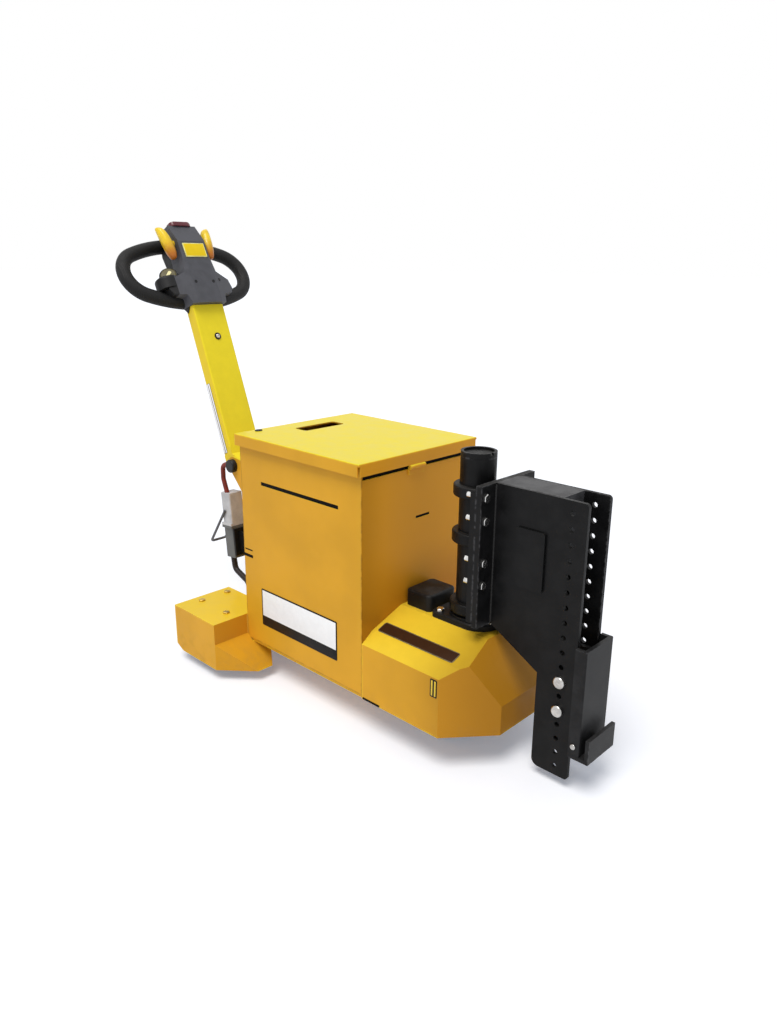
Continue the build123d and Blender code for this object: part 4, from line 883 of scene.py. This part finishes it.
class TUG_OT_head_fittings(bpy.types.Operator):
    """Blank badge, horn pod, horn button and screws of the head, and the arm's cheeks"""
    bl_idname = "tug.head_fittings"
    bl_label = "Head fittings"

    def execute(self, context):
        size = sizes()
        # The badge's pale outline is a painted highlight along its rim
        label("head_badge", size.badge_width, size.badge_height,
              HEAD @ facing((0.010, 0.001, 0.1525), LEFT, UP), "tiller", "yellow_plastic",
              field=(0.93, 0.66, 0.02), dark=(0.90, 0.80, 0.30), border=0.0022,
              thick=0.0022, rim=0.0006)
        out = Vector((0.85, -0.45, 0.27)).normalized()
        across = Vector((-0.54, -0.84, 0.0)).normalized()
        horn = HEAD @ facing((-0.024, -0.083, 0.095), across, out.cross(across))
        radius, depth = 0.0255, 0.030
        pod = drum("horn_pod", vertices=48, radius=radius, depth=depth, base=-depth)
        pick(pod, "FACE", lambda face: face.normal.z > 0.9)
        bpy.ops.mesh.inset(thickness=0.0032)
        raise_faces(-0.0014)
        pick(pod, "EDGE", lambda edge: all(
            point.co.z > 0 and point.co.xy.length > radius * 0.98 for point in edge.verts))
        soften(0.0026, segments=4)
        settle(pod, horn, "tiller",
               moulded("horn_pod", (0.012, 0.012, 0.013), 0.4))
        cap = domed_fixing("horn_button", radius=0.0215, high=0.0042, socket=False)
        settle(cap, horn @ Matrix.Translation((0, 0, -0.0016)), "tiller",
               moulded("horn_button", (0.085, 0.068, 0.012), 0.4))
        mark = rounded_plate("horn_mark", length=0.025, height=0.009, thick=0.0006,
                             corner=0.003, rim=0.0002)
        settle(mark, horn @ Matrix.Translation((0, 0, 0.0025)) @ Matrix.Rotation(0.9, 4, "Z"),
               "tiller", moulded("horn_mark", (0.90, 0.82, 0.42), 0.4))
        model = domed_fixing("head_screws", radius=0.0048, high=0.0016)
        places = [HEAD @ facing(origin, across, UP) for origin, across in (
            ((0.010, 0.029, 0.061), LEFT), ((0.0044, 0.054, 0.068), (-22, 63, 0)),
            ((0.010, -0.027, 0.061), LEFT))]
        settle(copies("head_screws", model, places), Matrix(), "tiller",
               bare_metal("head_screws", (0.04, 0.04, 0.042), 0.4))
        for side, sign in SIDES:
            cheek = drum("arm_cheek_" + side, vertices=3, radius=0.020, depth=0.003, base=-0.0015)
            stretch(1.6, 1.0, 1.0)
            soften(0.0008)
            matrix = ARM @ facing((-0.036, sign * 0.0502, 0.455), (sign, 0, 0), (0, 0, -1))
            settle(cheek, matrix, "tiller",
                   moulded("arm_cheek_" + side, (0.010, 0.010, 0.011), 0.45))
        return {"FINISHED"}


class TUG_OT_levers(bpy.types.Operator):
    """Curved yellow levers beside the tiller's head, and the rounded button over it"""
    bl_idname = "tug.levers"
    bl_label = "Levers and button"

    def execute(self, context):
        size = sizes()
        rings, half = 20, size.lever_length / 2
        broad, deep, bluntness, backward = 0.0170, 0.0145, 0.45, 0.010
        for side, sign in SIDES:
            lever = start(bpy.ops.mesh.primitive_uv_sphere_add, "lever_" + side, segments=32,
                          ring_count=rings, radius=1)
            stretch(broad, deep, half)
            for ring in range(rings + 1):
                turn = pi * ring / rings
                level = -half * cos(turn)
                reach = (ring / rings) ** 2
                pick(lever, "VERT", lambda point: abs(point.co.z - level) < 0.00005)
                if 0 < ring < rings:
                    wide = sin(turn) ** -bluntness
                    bpy.ops.transform.resize(value=(wide, wide, 1))
                bpy.ops.transform.translate(
                    value=(-backward * reach, sign * size.lever_flare * reach, 0))
            axle = start(bpy.ops.mesh.primitive_cylinder_add, "axle", vertices=32, radius=0.009,
                         depth=0.020, location=(-0.006, -sign * 0.0055, 0.0),
                         rotation=(pi / 2, 0, 0))
            lever = join("lever_" + side, [lever, axle])
            matrix = HEAD @ Matrix.Translation((-0.009, sign * 0.0585, 0.182))
            settle(lever, matrix, "tiller",
                   NODES["paddle_" + side].data.materials[0], ("paddle_" + side,))
        button = rounded_plate("push_button", length=0.038, height=0.066, thick=0.014,
                               corner=0.014, rim=0.006)
        settle(button, HEAD @ Matrix.Translation((-0.027, 0.0, 0.2350)), "tiller",
               NODES["head_button"].data.materials[0], ("head_button",))
        return {"FINISHED"}


class TUG_OT_fixings(bpy.types.Operator):
    """Hexagon heads with washers on the castors, the mast's foot and the hitch"""
    bl_idname = "tug.fixings"
    bl_label = "Bolts and nuts"

    def execute(self, context):
        bright = bare_metal("bolt_zinc", (0.82, 0.81, 0.79), 0.17)
        gold = bare_metal("bolt_gold", (0.62, 0.42, 0.09), 0.3)
        inset = 0.008
        for side, _ in SIDES:
            low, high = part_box("castor_bolts_" + side)
            name = "castor_bolt_heads_" + side
            model = hex_fixing(name, radius=0.0092, high=0.0062)
            places = [Matrix.Translation((x, y, low.z)) for x in (low.x + inset, high.x - inset)
                      for y in (low.y + inset, high.y - inset)]
            settle(copies(name, model, places), Matrix(), "chassis", gold,
                   ("castor_bolts_" + side,))
        low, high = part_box("carriage_bolts")
        for end, x, across in (("rear", low.x + 0.006, (0, -1, 0)),
                               ("front", high.x - 0.006, LEFT)):
            name = "carriage_bolt_heads_" + end
            model = hex_fixing(name, radius=0.0098, high=0.0058)
            if end == "rear":
                model = join(name, [model, drum("stud", vertices=20, radius=0.0062, depth=0.020)])
            places = [facing((x, y, z), across, UP)
                      for y in (-0.074, 0.074) for z in (0.576, 0.528, 0.440, 0.392)]
            settle(copies(name, model, places), Matrix(), "hitch", bright,
                   ("carriage_bolts",) if end == "rear" else ())
        low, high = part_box("foot_bolts")
        rows = []
        for name, x, apart, radius, height in (
                ("foot_bolt_heads", low.x + inset, 0.084, 0.0092, 0.0115),
                ("nose_bolt_heads", high.x - inset, 0.032, 0.0085, 0.0034)):
            places = [Matrix.Translation((x, y, low.z)) for y in (-apart / 2, apart / 2)]
            rows.append(copies(name, hex_fixing(name, radius, height), places))
        settle(join("foot_bolt_heads", rows), Matrix(), "chassis", bright,
               ("foot_bolts",))
        return {"FINISHED"}


class TUG_OT_lid_plug(bpy.types.Operator):
    """Small black grommet near the lid's rear corner"""
    bl_idname = "tug.lid_plug"
    bl_label = "Lid plug"

    def execute(self, context):
        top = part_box("lid_panel")[1].z
        plug = domed_fixing("lid_plug", radius=0.0075, high=0.0026, socket=False)
        stretch(1.0, 1.35, 1.0)
        settle(plug, Matrix.Translation((BODY_REAR + 0.013, -0.133, top)), "lid",
               moulded("lid_plug", (0.012, 0.012, 0.012), 0.45))
        return {"FINISHED"}


class TUG_OT_drive_tyres(bpy.types.Operator):
    """Grey drive tyres with grooves round them"""
    bl_idname = "tug.drive_tyres"
    bl_label = "Drive tyres"

    def execute(self, context):
        grooves = sizes().tyre_grooves
        shoulder, groove_half, groove_depth, bore = 0.006, 0.0016, 0.0035, 0.068
        for side, _ in SIDES:
            low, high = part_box("drive_tyre_" + side)
            centre, radius, half = (low + high) / 2, (high.z - low.z) / 2, (high.y - low.y) / 2
            tyre = drum("grooved_tyre_" + side, vertices=96, radius=radius, depth=half * 2,
                        base=-half, end_fill_type="NOTHING")
            middles = [(number - (grooves - 1) / 2) * half * 0.5 for number in range(grooves)]
            cuts = [shoulder - half, half - shoulder]
            for at in middles:
                cuts += [at - groove_half, at + groove_half]
            for cut in sorted(cuts):
                bpy.ops.mesh.select_all(action="SELECT")
                bpy.ops.mesh.bisect(plane_co=(0, 0, cut), plane_no=(0, 0, 1))
            for at in middles:
                pick(tyre, "FACE", lambda face: abs(middle(face).z - at) < groove_half * 0.9)
                bpy.ops.mesh.extrude_region_shrink_fatten(
                    TRANSFORM_OT_shrink_fatten={"value": -groove_depth})
            # The walls: the rim's edge is drawn in, then extruded inwards to the hub
            rim = radius
            for inner in (radius - 0.004, radius - 0.012, bore):
                for end in (-1, 1):
                    pick(tyre, "EDGE", lambda edge: edge.is_boundary and middle(edge).z * end > 0)
                    if rim < radius:
                        bpy.ops.mesh.extrude_edges_move()
                    bpy.ops.transform.resize(value=(inner / rim, inner / rim, 1))
                rim = inner
            bpy.ops.mesh.select_all(action="SELECT")
            bpy.ops.mesh.remove_doubles(threshold=0.00002)
            bpy.ops.mesh.normals_make_consistent(inside=False)
            matrix = Matrix.Translation(centre) @ Matrix.Rotation(pi / 2, 4, "X")
            settle(tyre, matrix, "drive_wheel_" + side,
                   NODES["drive_tyre_" + side].data.materials[0], ("drive_tyre_" + side,))
        return {"FINISHED"}


class TUG_OT_welds(bpy.types.Operator):
    """Weld beads of the hitch plates, the castor housings and the tower"""
    bl_idname = "tug.welds"
    bl_label = "Weld beads"

    def execute(self, context):
        radius, tone = sizes().weld_radius, colours()
        back = (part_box("hitch_backplate")[1].x - BODY_REAR) * 1000
        black = scaled(tone.black, 1.6)
        for side, sign in SIDES:
            for name, x, y, foot, top, body, slot, colour in (
                    ("plate_weld_", back, 43, 304, 598, "hitch", "black_paint", black),
                    ("castor_weld_", -0.3, 181.3, 99, 149, "chassis", "yellow_paint", tone.paint),
                    ("tower_weld_", -0.3, 59.5, 124, 496, "chassis", "yellow_paint", tone.paint)):
                weld_bead(name + side, place(x, sign * y, foot), place(x, sign * y, top), radius,
                          body, colour)
        return {"FINISHED"}


class TUG_PT_panel(bpy.types.Panel):
    """The machine's pieces, sizes and colours"""
    bl_label = "Tow Tractor"
    bl_idname = "TUG_PT_panel"
    bl_space_type = "VIEW_3D"
    bl_region_type = "UI"
    bl_category = "Tow Tractor"

    def draw(self, context):
        for operator in STEPS:
            self.layout.operator(operator.bl_idname)
        for group in (context.scene.tug_sizes, context.scene.tug_colours):
            box = self.layout.box()
            for name in group.__annotations__:
                box.prop(group, name)


STEPS = (TUG_OT_stage, TUG_OT_frame_finishes, TUG_OT_side_sign, TUG_OT_slot_inserts,
         TUG_OT_housing_labels, TUG_OT_arm_fittings, TUG_OT_head_fittings, TUG_OT_levers,
         TUG_OT_fixings, TUG_OT_lid_plug, TUG_OT_drive_tyres, TUG_OT_welds)
CLASSES = (TugSizes, TugColours, *STEPS, TUG_PT_panel)


def register():
    for each in CLASSES:
        bpy.utils.register_class(each)
    bpy.types.Scene.tug_sizes = PointerProperty(type=TugSizes)
    bpy.types.Scene.tug_colours = PointerProperty(type=TugColours)


def unregister():
    del bpy.types.Scene.tug_colours
    del bpy.types.Scene.tug_sizes
    for each in reversed(CLASSES):
        bpy.utils.unregister_class(each)


def main():
    register()
    for step in STEPS:
        group, name = step.bl_idname.split(".")
        getattr(getattr(bpy.ops, group), name)()


if __name__ == "__main__":
    main()
